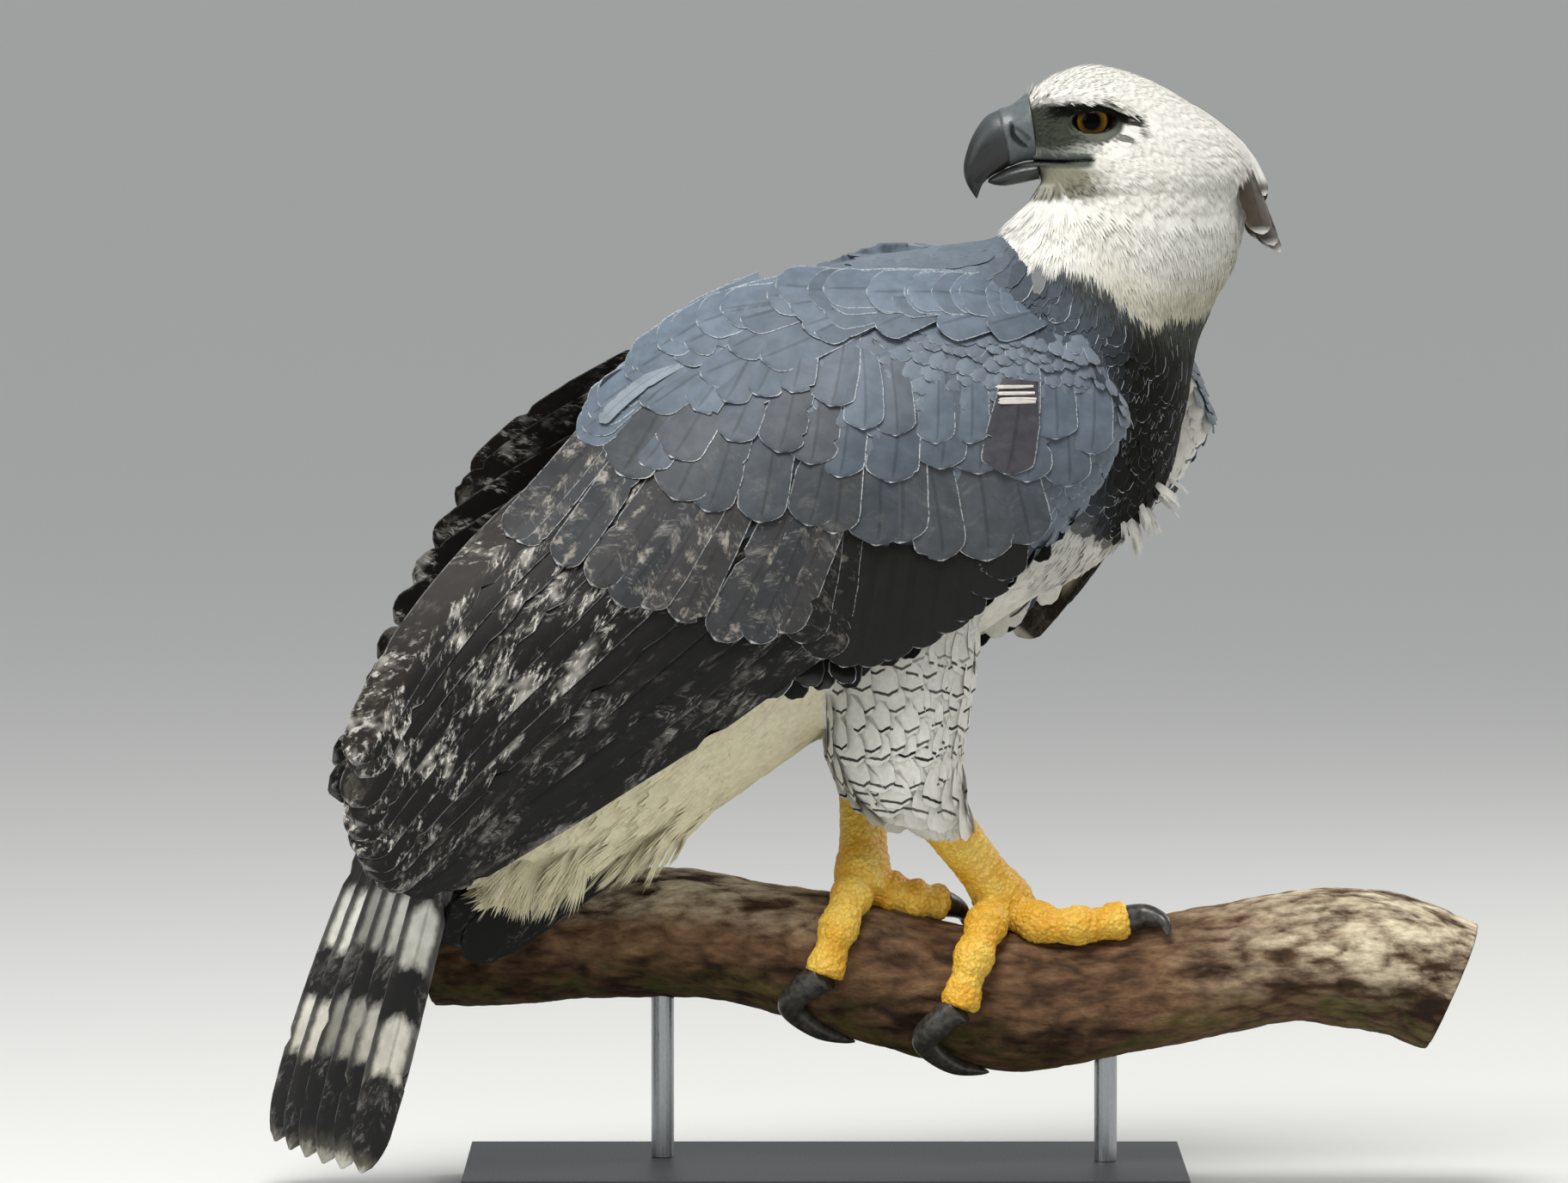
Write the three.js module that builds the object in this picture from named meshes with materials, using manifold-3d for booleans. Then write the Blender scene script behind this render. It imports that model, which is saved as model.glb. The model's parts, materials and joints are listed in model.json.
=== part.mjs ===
// A harpy eagle standing on a cut branch, held by a plain display stand.
// Millimetres, +Z up. X runs to the bird's front, Y away from the side it is mostly seen from,
// and the origin is the middle of the underside of the base.
import * as THREE from "three";
import { mergeVertices } from "three/addons/utils/BufferGeometryUtils.js";
import Module from "manifold-3d";

const wasm = await Module();
wasm.setup();

// Stand and perch.
const baseSize = [440, 240, 20];
const rodRadius = 7;
const rodPlaces = [-100, 172];
const middleHeight = 370; // the height that the z of every body table below counts from
const branchLine = [
  [-240, 56, -218],
  [-195, 48, -216],
  [-141, 36, -213],
  [-86, 21, -211],
  [-32, 8, -219],
  [22, 0, -231],
  [76, 0, -245],
  [130, 0, -252],
  [184, 0, -246],
  [238, 0, -234],
  [292, 0, -223],
  [346, 0, -227],
  [384, 0, -242],
];
const branchRadius = 41;

// The body's own plane turns away from the picture plane, front away and tail near.
const gap = 0.35;
const bodyYaw = THREE.MathUtils.degToRad(12);
const bodyPivot = 60;
const headYaw = THREE.MathUtils.degToRad(5);
const headPivot = [150, 20];

// Sections of the body: back or throat end, belly or crown end, half width.
const torsoSections = [
  [[-217, -125], [-183, -180], 22],
  [[-203, -85], [-137, -164], 40],
  [[-179, -25], [-84, -146], 56],
  [[-147, 46], [-16, -101], 70],
  [[-103, 123], [58, -51], 80],
  [[-47, 178], [132, -6], 84],
  [[13, 204], [184, 28], 84],
  [[66, 213], [213, 70], 80],
  [[100, 219], [225, 115], 74],
  [[109, 225], [233, 152], 68],
];
const neckSections = [
  [[109, 225], [233, 152], 68],
  [[114, 232], [245, 181], 62],
  [[119, 237], [256, 207], 59],
  [[124, 242], [263, 238], 56],
];
const headSections = [
  [[124, 242], [263, 238], 56],
  [[127, 246], [262, 263], 53],
  [[129, 248.5], [247, 284], 49],
  [[130, 250], [218, 305], 43],
  [[130.6, 251], [189, 319], 37],
  [[131, 251.8], [161, 324], 32],
  [[131.1, 252.5], [138, 317], 26],
  [[131, 253], [123.5, 306], 19],
];
// Sections of the two halves of the bill: cutting edge, outer edge, half width.
const upperBill = [
  [[129.5, 264.2], [123.7, 304.2], 18],
  [[122.1, 263.7], [113.7, 296.8], 14],
  [[114.7, 261.1], [105.3, 294.2], 12.5],
  [[108.4, 257.4], [97.9, 290], 11],
  [[103.2, 254.7], [91.1, 280.5], 9],
  [[99.5, 252.1], [86.8, 270], 7],
  [[97.4, 250], [84.7, 259.5], 5],
  [[95.8, 247.9], [86.3, 250], 3],
  [[93.7, 240.5], [91.6, 241.1], 0.8],
];
const lowerBill = [
  [[131.1, 252.1], [129.6, 263.2], 13],
  [[120, 249.5], [121.1, 262.1], 11],
  [[110.5, 247.9], [111.6, 258.9], 8.5],
  [[103.7, 248.4], [103.7, 254.7], 5],
  [[99.5, 250], [100, 252.1], 1.5],
];
const eyeCentre = [164, 288];
const eyeRadius = 13;
const eyeOut = 25;
const mouthCorner = [162, 264];
const browLine = [[131, 301, 19], [144, 303, 28.5], [160, 303, 34.5], [176, 299, 37.5], [190, 291, 38.5]];

// Feathers.
const flightThickness = 1.1;
const coverDepth = 3;
const coverRise = 2.4;

// A wing is laid out from its wrist: a toward its tip, b toward its belly edge.
const rightWing = {
  side: -1,
  wrist: [179, 109],
  slope: THREE.MathUtils.degToRad(30.9),
  height: [[-10, 78], [10, 92], [60, 102], [150, 108], [250, 102], [350, 86], [450, 68], [540, 52]],
  backDrop: [[0, 30], [95, 50], [144, 80], [231, 80], [338, 62], [415, 40], [540, 15]],
  bellyDrop: [[0, 12], [540, 10]],
  back: [[-8, -60], [0, -82], [12, -102], [95, -149], [144, -186], [231, -184], [338, -152]],
  belly: [[-8, 3], [0, 16], [26, 33], [67, 46], [140, 56], [206, 54], [232, 37], [338, 36]],
  roots: [[215, -146], [210, -70], [205, 20]],
  bends: [[400, -145], [425, -92], [430, -48], [415, -8], [360, 22]],
  tips: [[503, -60], [522, -30], [533, -4], [526, 14], [500, 24]],
  flightCount: 11,
  flightWidth: [30, 34],
  greater: [[356, -134], [334, -96], [302, -47], [273, -11], [240, 14]],
  median: [[247, -91], [201, -48], [167, -12], [141, 18], [79, 38]],
  lesser: [[205, -118], [159, -62], [129, -41], [76, -17], [38, 20]],
  alula: [[240, -6], [226, 30], [206, 52], [150, 50]],
};
const leftWing = {
  side: 1,
  wrist: [237, 107],
  slope: THREE.MathUtils.degToRad(22),
  height: [[-10, 76], [10, 86], [60, 98], [150, 106], [250, 100], [350, 87], [450, 82], [570, 69]],
  backDrop: [[0, 22], [95, 45], [144, 74], [231, 76], [338, 52], [440, 26], [570, 8]],
  bellyDrop: [[0, 8], [150, 12], [570, 15]],
  back: [[-5, -44], [4, -78], [20, -106], [95, -149], [144, -180], [231, -184], [338, -168]],
  belly: [[-5, 8], [8, 24], [45, 46], [100, 62], [163, 80], [240, 84], [338, 96]],
  roots: [[215, -158], [215, -40], [215, 60]],
  bends: [[350, -168], [390, -105], [410, -40], [410, 10], [390, 60], [370, 90]],
  tips: [[434, -130], [492, -86], [543, -38], [586, 12], [576, 76], [548, 134]],
  flightCount: 11,
  flightWidth: [30, 38],
  greater: [[352, -150], [346, -80], [330, 0], [296, 74]],
  median: [[250, -128], [215, -50], [190, 54]],
  lesser: [[170, -112], [130, -50], [100, 30]],
  alula: [[262, 40], [236, 66], [200, 84], [150, 70]],
};

// The tail hangs from the rump, its far half spread and its near half folded under the middle.
// tailSpread is how far out the last feather lies at its root, its bend and its tip.
const tailRoot = [-194.5, -54, -1];
const tailLine = new THREE.Vector3(-0.243, -0.074, -0.967).normalize();
const tailAcross = new THREE.Vector3(-0.616, 0.775, 0.119);
const tailLength = 360;
const tailFeathers = 12;
const tailSpread = [40, 110, 116];
const tailBend = 200;

// Crest, from the crown down the nape.
const crestFeathers = 9;
const crestLength = 78;
const crestLine = [[205, 311], [228, 300], [249, 282], [262, 262], [268, 240], [272, 216]];

// Legs: thigh rings as x, y, z, half along x, half along y.
const thighRight = [
  [45, -48, 30, 46, 34],
  [45, -50, -20, 50, 34],
  [44, -49, -60, 48, 33],
  [43, -46, -96, 44, 31],
  [52, -40, -122, 37, 28],
  [66, -34, -138, 26, 23],
  [73, -32, -147, 19.5, 19],
];
const thighLeft = [
  [42, 42, 30, 44, 28],
  [38, 42, -20, 46, 28],
  [34, 42, -60, 40, 26],
  [28, 41, -92, 31, 24],
  [25, 41, -112, 22, 21],
  [25, 40, -119, 19.5, 19],
];
const shankRadius = [18, 15.5];
const toeRadius = 11.5;
const rightFoot = { at: 108, shankTop: [68, -34, -132] };
const leftFoot = { at: 26, shankTop: [24.5, 44, -104] };
// Toes as [along the branch, turn round it from the top, positive toward the near side], degrees.
const toePlans = [
  {
    name: "hind",
    path: [[0, 0], [-9, 28], [-18, 62], [-27, 96]],
    claw: [[-42, 114], [-47, 130], [-30, 150], [-8, 166]],
  },
  {
    name: "middle",
    path: [[0, 0], [13, -30], [20, -62], [22, -92]],
    claw: [[22, -108], [21, -126], [20, -142], [19, -154]],
  },
  {
    name: "outer",
    path: [[0, 0], [-4, -30], [-9, -58], [-11, -84]],
    claw: [[-12, -99], [-13, -114], [-13, -128], [-13, -140]],
  },
];
const innerToes = {
  right: {
    name: "inner",
    path: [[0, 0], [26, 20], [52, 24], [76, 20]],
    claw: [[86, 19], [93, 24], [99, 33], [101, 44]],
  },
  left: {
    name: "inner",
    path: [[0, 0], [17, 8], [33, 8], [45, 0]],
    claw: [[51, -7], [56, -15], [59, -24], [60, -33]],
  },
};

const colours = {
  slate: 0x3a4048,
  charcoal: 0x2b2a2a,
  white: 0xe6e3da,
  bill: 0x34393d,
  yellow: 0xe0a526,
  claw: 0x2a2c28,
  iris: 0x7a5a22,
  bark: 0x7d6852,
  steel: 0x8a8d90,
  plate: 0x2f3133,
};

// The value at x of a table of [x, value] rows, straight between rows.
function along(rows, x) {
  let i = 1;
  while (i < rows.length - 1 && rows[i][0] < x) i += 1;
  const [x0, y0] = rows[i - 1];
  const [x1, y1] = rows[i];
  const f = THREE.MathUtils.clamp((x - x0) / (x1 - x0), 0, 1);
  return y0 + (y1 - y0) * f;
}

// A point a fraction f along a list of [a, b] points.
function onLine(points, f) {
  const t = f * (points.length - 1);
  const i = Math.min(Math.floor(t), points.length - 2);
  const u = t - i;
  return points[i].map((value, k) => value + (points[i + 1][k] - value) * u);
}

// A closed surface through rings of equally many points. A slab ring holds its upper points in
// order and its lower ones back again, and is split into triangles alike above and below.
function loft(rings, slab = false) {
  const n = rings[0].length;
  const points = rings.flat();
  const faces = [];
  const at = (i, k) => i * n + (k % n);
  for (let i = 0; i < rings.length - 1; i += 1) {
    for (let k = 0; k < n; k += 1) {
      const [p, q, r, s] = [at(i, k), at(i, k + 1), at(i + 1, k + 1), at(i + 1, k)];
      if (slab && k >= n / 2) faces.push([p, q, s], [q, r, s]);
      else faces.push([p, q, r], [p, r, s]);
    }
  }
  for (const [i, turned] of [[0, true], [rings.length - 1, false]]) {
    const cap = [];
    if (slab) {
      for (let k = 0; k < n / 2 - 1; k += 1) {
        const [p, q, r, s] = [k, k + 1, n - 2 - k, n - 1 - k];
        cap.push([at(i, p), at(i, q), at(i, r)], [at(i, p), at(i, r), at(i, s)]);
      }
    } else {
      const middle = rings[i].reduce((sum, p) => sum.add(p), new THREE.Vector3()).divideScalar(n);
      points.push(middle);
      for (let k = 0; k < n; k += 1) cap.push([at(i, k), at(i, k + 1), points.length - 1]);
    }
    for (const [p, q, r] of cap) faces.push(turned ? [q, p, r] : [p, q, r]);
  }
  return solid(points, faces);
}

// Points and triangles as a solid, turned to face outward.
function solid(points, faces) {
  let volume = 0;
  for (const [p, q, r] of faces) volume += points[p].dot(points[q].clone().cross(points[r]));
  const order = volume < 0 ? faces.map(([p, q, r]) => [q, p, r]) : faces;
  return new wasm.Manifold(
    new wasm.Mesh({
      numProp: 3,
      vertProperties: new Float32Array(points.flatMap((p) => p.toArray())),
      triVerts: new Uint32Array(order.flat()),
    }),
  );
}

// A three.js geometry, moved by a matrix, as a solid.
function solidOf(geometry, matrix = new THREE.Matrix4()) {
  const plain = geometry.clone().applyMatrix4(matrix);
  plain.deleteAttribute("normal");
  plain.deleteAttribute("uv");
  const merged = mergeVertices(plain, 1e-4);
  return new wasm.Manifold(
    new wasm.Mesh({
      numProp: 3,
      vertProperties: new Float32Array(merged.attributes.position.array),
      triVerts: new Uint32Array(merged.index.array),
    }),
  );
}

const joined = (list) => list.reduce((sum, piece) => sum.add(piece));
const without = (piece, ...others) => others.reduce((rest, other) => rest.subtract(other), piece);
const largest = (piece) => piece.decompose().sort((p, q) => q.volume() - p.volume())[0];

// A round bar through points, with a radius at each fraction of its length.
function bar(points, radius, sides, steps, squash = 1) {
  const path = new THREE.CatmullRomCurve3(points);
  const frames = path.computeFrenetFrames(steps, false);
  const rings = [];
  for (let i = 0; i <= steps; i += 1) {
    const centre = path.getPointAt(i / steps);
    const ring = [];
    for (let k = 0; k < sides; k += 1) {
      const turn = (k / sides) * Math.PI * 2;
      const r = radius(i / steps);
      ring.push(
        centre
          .clone()
          .addScaledVector(frames.normals[i], Math.cos(turn) * r)
          .addScaledVector(frames.binormals[i], Math.sin(turn) * r * squash),
      );
    }
    rings.push(ring);
  }
  return loft(rings);
}

// Points in the plane of the body and of the head, out from the middle.
const bodyDepth = (x) => (x - bodyPivot) * Math.tan(bodyYaw);
const headDepth = (x) => headPivot[1] + (x - headPivot[0]) * Math.tan(headYaw);
const bodyPoint = (x, z, out) => new THREE.Vector3(x, bodyDepth(x) + out / Math.cos(bodyYaw), z);
const headPoint = (x, z, out) => new THREE.Vector3(x, headDepth(x) + out / Math.cos(headYaw), z);

// Rings across the body, where turn says how far the body's plane has become the head's.
function bodyRings(sections, turn, sides = 24, grow = 0, square = 1) {
  return sections.map(([from, to, half], i) => {
    const share = turn(i / (sections.length - 1));
    const [cx, cz] = [(from[0] + to[0]) / 2, (from[1] + to[1]) / 2];
    const [ux, uz] = [(to[0] - from[0]) / 2, (to[1] - from[1]) / 2];
    const reach = 1 + grow / Math.hypot(ux, uz);
    const ring = [];
    for (let k = 0; k < sides; k += 1) {
      const angle = (k / sides) * Math.PI * 2;
      const [c, s] = [Math.cos(angle), Math.sin(angle)];
      const fill = (c * c) ** square + (s * s) ** square;
      const round = fill ** (-1 / (2 * square));
      const x = cx + ux * reach * c * round;
      const z = cz + uz * reach * c * round;
      const out = (half + grow) * s * round;
      const body = bodyPoint(x, z, out);
      body.lerp(headPoint(x, z, out), share);
      ring.push(body);
    }
    return ring;
  });
}

// Moves the first and last ring of a piece along its length.
function stretch(rings, first, last) {
  const middle = (ring) =>
    ring.reduce((sum, p) => sum.add(p), new THREE.Vector3()).divideScalar(ring.length);
  const facing = (ring) =>
    ring[0]
      .clone()
      .sub(ring[Math.floor(ring.length / 2)])
      .cross(ring[Math.floor(ring.length / 4)].clone().sub(ring[Math.floor((ring.length * 3) / 4)]))
      .normalize();
  const ends = [
    [rings[0], rings[1], first],
    [rings[rings.length - 1], rings[rings.length - 2], last],
  ];
  for (const [end, next, by] of ends) {
    const normal = facing(end);
    if (normal.dot(middle(end).sub(middle(next))) < 0) normal.negate();
    for (const p of end) p.addScaledVector(normal, by);
  }
  return rings;
}

const torsoOf = (grow) =>
  loft(stretch(bodyRings(torsoSections, () => 0, 24, grow), grow, grow - gap / 2));
const neckOf = (grow) =>
  loft(stretch(bodyRings(neckSections, (f) => f, 24, grow), grow - gap / 2, grow - gap / 2));
const headShape = () => loft(stretch(bodyRings(headSections, () => 1, 20, 0, 1.1), -gap / 2, -gap / 2));
const billOf = (sections, grow) =>
  loft(stretch(bodyRings(sections, () => 1, 12, grow), grow - gap / 2, grow));

// A point and the direction on a path of [a, b] points: straight through two, or bent toward
// the middle one of three.
function onPath(path, f) {
  const [root, tip] = [path[0], path[path.length - 1]];
  const pull = path.length > 2 ? path[1] : root.map((value, k) => (value + tip[k]) / 2);
  const point = root.map((value, k) => (1 - f) ** 2 * value + 2 * f * (1 - f) * pull[k] + f * f * tip[k]);
  const ahead = root.map((value, k) => (1 - f) * (pull[k] - value) + f * (tip[k] - pull[k]));
  return [point, new THREE.Vector2(...ahead).normalize()];
}

// A vane laid along a path on a surface given as (a, b, lift), with its half width and the lift
// of its upper face at each fraction of its length, and its belly edge raised by tilt.
function vane(surface, path, { halfWidth, shape, lift, thick, tilt, across = 2, grow = 0 }) {
  const sides = across === 2 ? [-1, 1] : [-1, 0, 1];
  const rings = shape.map(([f, w]) => {
    const [[a, b], run] = onPath(path, f);
    const upper = sides.map((c) => {
      const wide = c * (w * halfWidth + grow);
      const ridge = c === 0 ? 0.35 : 0;
      return [a - run.y * wide, b + run.x * wide, lift(f) + tilt * c * w + ridge + grow];
    });
    const lower = upper.map(([p, q, h]) => [p, q, h - thick(f) - 2 * grow]).reverse();
    return [...upper, ...lower].map(([p, q, h]) => surface(p, q, h));
  });
  return loft(rings, true);
}

const coverShape = [[0, 0.8], [0.66, 1], [1, 0.42]];
const flightShape = [[0, 0.5], [0.35, 0.95], [0.7, 1], [0.92, 0.72], [1, 0.25]];

function wingSurface(wing) {
  const [c, s] = [Math.cos(wing.slope), Math.sin(wing.slope)];
  return (a, b, lift) => {
    const x = wing.wrist[0] - a * c + b * s;
    const z = wing.wrist[1] - a * s - b * c;
    const backEdge = along(wing.back, a);
    const backShare = Math.max(0, (-40 - b) / (-40 - Math.min(backEdge, -60)));
    const bellyShare = Math.max(0, b / 60);
    let out = along(wing.height, a);
    out -= Math.min(backShare, 1.25) ** 2 * along(wing.backDrop, a);
    out -= Math.min(bellyShare, 1.6) ** 2 * along(wing.bellyDrop, a);
    return bodyPoint(x, z, wing.side * (out + lift));
  };
}

function wingCore(wing, grow = 0) {
  const surface = wingSurface(wing);
  const stations = [wing.back[0][0], 2, 14, 40, 75, 110, 144, 190, 231, 285, 335];
  const spread = [0, 0.1, 0.3, 0.6, 0.88, 1];
  const rings = stations.map((a, i) => {
    const thick = THREE.MathUtils.lerp(34, 7, Math.max(0, (a - 60) / 275)) * (i === 0 ? 0.45 : 1);
    const from = along(wing.back, a) - grow;
    const to = along(wing.belly, a) + grow;
    const end = i === 0 ? -grow : i === stations.length - 1 ? grow : 0;
    const edge = (v) => (v === 0 || v === 1 ? 0.3 : v < 0.2 || v > 0.8 ? 0.12 : 0);
    const upper = spread.map((v) => [from + (to - from) * v, -thick * edge(v) + grow]);
    const lower = spread.map((v) => [from + (to - from) * v, -thick * (1 - edge(v)) - grow]).reverse();
    return [...upper, ...lower].map(([b, lift]) => surface(a + end, b, lift));
  });
  return loft(rings, true);
}

// A tier of coverts whose tips lie along a line.
function tier(surface, line, count, length, halfWidth, turn, grow = 0) {
  const pieces = [];
  for (let i = 0; i < count; i += 1) {
    const f = (i + 0.5) / count;
    const tip = onLine(line, f);
    const angle = turn[0] + (turn[1] - turn[0]) * f;
    const root = [tip[0] - Math.cos(angle) * length, tip[1] - Math.sin(angle) * length];
    pieces.push(
      vane(surface, [root, tip], {
        halfWidth,
        shape: coverShape,
        lift: (g) => 0.2 + coverRise * g,
        thick: () => coverDepth,
        tilt: 0.5,
        grow,
      }),
    );
  }
  return pieces;
}

function flightFeathers(wing, surface, grow = 0) {
  const pieces = [];
  for (let i = 0; i < wing.flightCount; i += 1) {
    const f = i / (wing.flightCount - 1);
    pieces.push(
      vane(surface, [onLine(wing.roots, f), onLine(wing.bends, f), onLine(wing.tips, f)], {
        halfWidth: THREE.MathUtils.lerp(...wing.flightWidth, f) / 2,
        shape: flightShape,
        lift: (g) => -2.6 + 3.2 * Math.min(1, g * 2.4),
        thick: (g) => flightThickness + 1.2 * Math.max(0, 0.4 - g),
        tilt: 1.6,
        grow,
      }),
    );
  }
  return pieces;
}

const alulaTier = (wing, surface, grow) => tier(surface, wing.alula, 4, 76, 17, [0.4, 0.5], grow);

function wingOf(wing, others) {
  const surface = wingSurface(wing);
  const pieces = [wingCore(wing), ...flightFeathers(wing, surface)];
  pieces.push(...tier(surface, wing.greater, 9, 74, 16, [0.26, 0.6]));
  pieces.push(...tier(surface, wing.median, 8, 52, 17, [0.45, 0.8]));
  pieces.push(...tier(surface, wing.lesser, 6, 42, 17, [0.4, 0.95]));
  pieces.push(...alulaTier(wing, surface));
  return largest(without(joined(pieces), ...others));
}

// The space that a wing needs, for the pieces beside it to be cut clear of.
function wingRoom(wing) {
  const surface = wingSurface(wing);
  const flights = flightFeathers(wing, surface, gap);
  return joined([wingCore(wing, gap), ...flights, ...alulaTier(wing, surface, gap)]);
}

// Points on the tail: l along it, m across it.
function tailSurface() {
  const root = new THREE.Vector3(...tailRoot);
  const normal = tailAcross.clone().cross(tailLine).normalize();
  return (l, m, lift) =>
    root
      .clone()
      .addScaledVector(tailLine, l)
      .addScaledVector(tailAcross, m)
      .addScaledVector(normal, lift - ((m / 100) ** 2) * 6);
}

function tailOf(others) {
  const surface = tailSurface();
  const pieces = [];
  const half = tailFeathers / 2;
  for (let i = 0; i < tailFeathers; i += 1) {
    const far = i < half;
    const order = far ? i : i - half;
    const share = far ? order / (half - 1) : 0.014 * (2 * order + 1);
    const length = tailLength + (far ? 2 * order - 10 * share * share : -3 * order);
    const drop = 1.2 * (2 * order + (far ? 0 : 1));
    pieces.push(
      vane(surface, [60, tailBend, length].map((l, k) => [l, share * tailSpread[k]]), {
        halfWidth: 23,
        shape: [[0, 0.5], [0.3, 0.86], [0.6, 0.95], [0.92, 0.8], [1, 0.2]],
        lift: () => -drop,
        thick: () => 1.2,
        tilt: 0,
        across: 3,
      }),
    );
  }
  // The tail coverts, above and below, that hold the feathers together.
  const rows = [[44, 18, 30], [72, 22, 28], [110, 30, 23], [150, 36, 18], [185, 34, 13]];
  const bundle = rows.map(([l, wide, thick]) => {
    const upper = [-0.9, -0.3, 0.5, 1.25].map((c) => [c * wide, 3 - Math.abs(c) * 2]);
    const lower = upper.map(([m, h]) => [m, h - thick]).reverse();
    return [...upper, ...lower].map(([m, h]) => surface(l, m, h));
  });
  pieces.push(loft(bundle, true));
  return largest(without(joined(pieces), ...others));
}

function headOf(eyes) {
  let head = headShape();
  for (const side of [-1, 1]) {
    const eye = headPoint(eyeCentre[0], eyeCentre[1], side * eyeOut);
    // Lids: an almond rim round the opening, and a heavy brow above it.
    const rim = [];
    for (let k = 0; k < 12; k += 1) {
      const turn = (k / 12) * Math.PI * 2;
      const x = eyeCentre[0] + Math.cos(turn) * 13.2;
      const z = eyeCentre[1] + Math.sin(turn) * 9.6 * (1 - 0.12 * Math.cos(turn));
      const out = eyeOut + 10.6 - 1.6 * Math.cos(turn) ** 2;
      rim.push(headPoint(x, z, side * out));
    }
    head = head.add(ringBar(rim, 2.4, 4));
    const brow = browLine.map(([x, z, out]) => headPoint(x, z, side * out));
    head = head.add(bar(brow, (f) => 2 + 4.6 * Math.sin(Math.PI * (0.12 + 0.76 * f)), 6, 6, 0.62));
    head = head.subtract(
      solidOf(
        new THREE.SphereGeometry(eyeRadius + gap, 14, 9),
        new THREE.Matrix4().makeTranslation(eye.x, eye.y, eye.z),
      ),
    );
    // The opening between the lids.
    const opening = [0, 30].map((out) => {
      const ring = [];
      for (let k = 0; k < 12; k += 1) {
        const turn = (k / 12) * Math.PI * 2;
        const x = eyeCentre[0] + Math.cos(turn) * 11.4;
        const z = eyeCentre[1] + Math.sin(turn) * 8.2 * (1 - 0.12 * Math.cos(turn));
        ring.push(headPoint(x, z, side * (eyeOut + 2 + out)));
      }
      return ring;
    });
    head = head.subtract(loft(opening));
    // The line of the mouth runs on into the cheek.
    const line = [[126, 263.9], [146, 263], [mouthCorner[0], mouthCorner[1] + 0.6]].map(([x, z], i) => {
      const half = [0.7, 0.6, 0.3][i];
      return [
        headPoint(x, z + half, side * 44),
        headPoint(x, z + half, side * [8, 14, 26][i]),
        headPoint(x, z - half, side * [8, 14, 26][i]),
        headPoint(x, z - half, side * 44),
      ];
    });
    head = head.subtract(loft(line, true));
  }
  // Crest feathers, laid back over the nape.
  const surface = (u, v, lift) => {
    // u runs down the crown and nape, v sideways over it.
    const t = THREE.MathUtils.clamp(u / 118, 0, 1);
    const [x, z] = onLine(crestLine, t);
    const [x2, z2] = onLine(crestLine, Math.min(1, t + 0.02));
    const [x1, z1] = onLine(crestLine, Math.max(0, t - 0.02));
    const run = Math.hypot(x2 - x1, z2 - z1);
    const up = lift - (v * v) / 90;
    return headPoint(x + (up * Math.abs(z1 - z2)) / run, z + (up * Math.abs(x2 - x1)) / run, v);
  };
  const crest = [];
  for (let i = 0; i < crestFeathers; i += 1) {
    const c = (i / (crestFeathers - 1)) * 2 - 1;
    const start = 8 + 10 * Math.abs(c);
    const reach = start + crestLength + (i % 2 ? 14 : 0);
    crest.push(
      vane(surface, [[start, c * 20], [reach, c * 38]], {
        halfWidth: 9,
        shape: [[0, 0.6], [0.6, 1], [1, 0.35]],
        lift: (f) => -2 + 5 * f + (i % 2) * 1.6 * f,
        thick: (f) => 3.4 - 1.6 * f,
        tilt: 0,
      }),
    );
  }
  head = head.add(joined(crest));
  return largest(without(head, neckOf(gap), ...eyes));
}

// A closed ring of bar, through points that go round.
function ringBar(points, radius, sides) {
  const n = points.length;
  const middle = points.reduce((sum, p) => sum.add(p), new THREE.Vector3()).divideScalar(n);
  const all = [];
  const faces = [];
  for (let i = 0; i < n; i += 1) {
    const ahead = points[(i + 1) % n].clone().sub(points[(i + n - 1) % n]).normalize();
    const outward = points[i].clone().sub(middle);
    outward.addScaledVector(ahead, -outward.dot(ahead)).normalize();
    const over = ahead.clone().cross(outward);
    for (let k = 0; k < sides; k += 1) {
      const turn = (k / sides) * Math.PI * 2;
      all.push(
        points[i]
          .clone()
          .addScaledVector(outward, Math.cos(turn) * radius)
          .addScaledVector(over, Math.sin(turn) * radius),
      );
    }
    for (let k = 0; k < sides; k += 1) {
      const [p, q] = [i * sides + k, i * sides + ((k + 1) % sides)];
      const [r, s] = [((i + 1) % n) * sides + ((k + 1) % sides), ((i + 1) % n) * sides + k];
      faces.push([p, q, r], [p, r, s]);
    }
  }
  return solid(all, faces);
}

function eyeOf(side) {
  const eye = headPoint(eyeCentre[0], eyeCentre[1], side * eyeOut);
  return solidOf(
    new THREE.SphereGeometry(eyeRadius, 14, 9),
    new THREE.Matrix4().makeTranslation(eye.x, eye.y, eye.z),
  );
}

function upperBillOf(grow = 0) {
  let bill = billOf(upperBill, grow);
  if (grow) return bill;
  for (const side of [-1, 1]) {
    const slit = [[119, 275], [122, 279], [124.5, 284]].map(([x, z]) => headPoint(x, z, side * 15.5));
    bill = bill.subtract(bar(slit, (f) => 0.8 + 1.1 * Math.sin(Math.PI * f), 5, 3, 2.4));
  }
  return largest(bill);
}

const branchCurve = new THREE.CatmullRomCurve3(branchLine.map(([x, y, z]) => new THREE.Vector3(x, y, z)));
const branchSize = (x) => branchRadius * (1 + 0.05 * Math.sin(x / 46) + 0.02 * Math.sin(x / 17 + 1));

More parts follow.
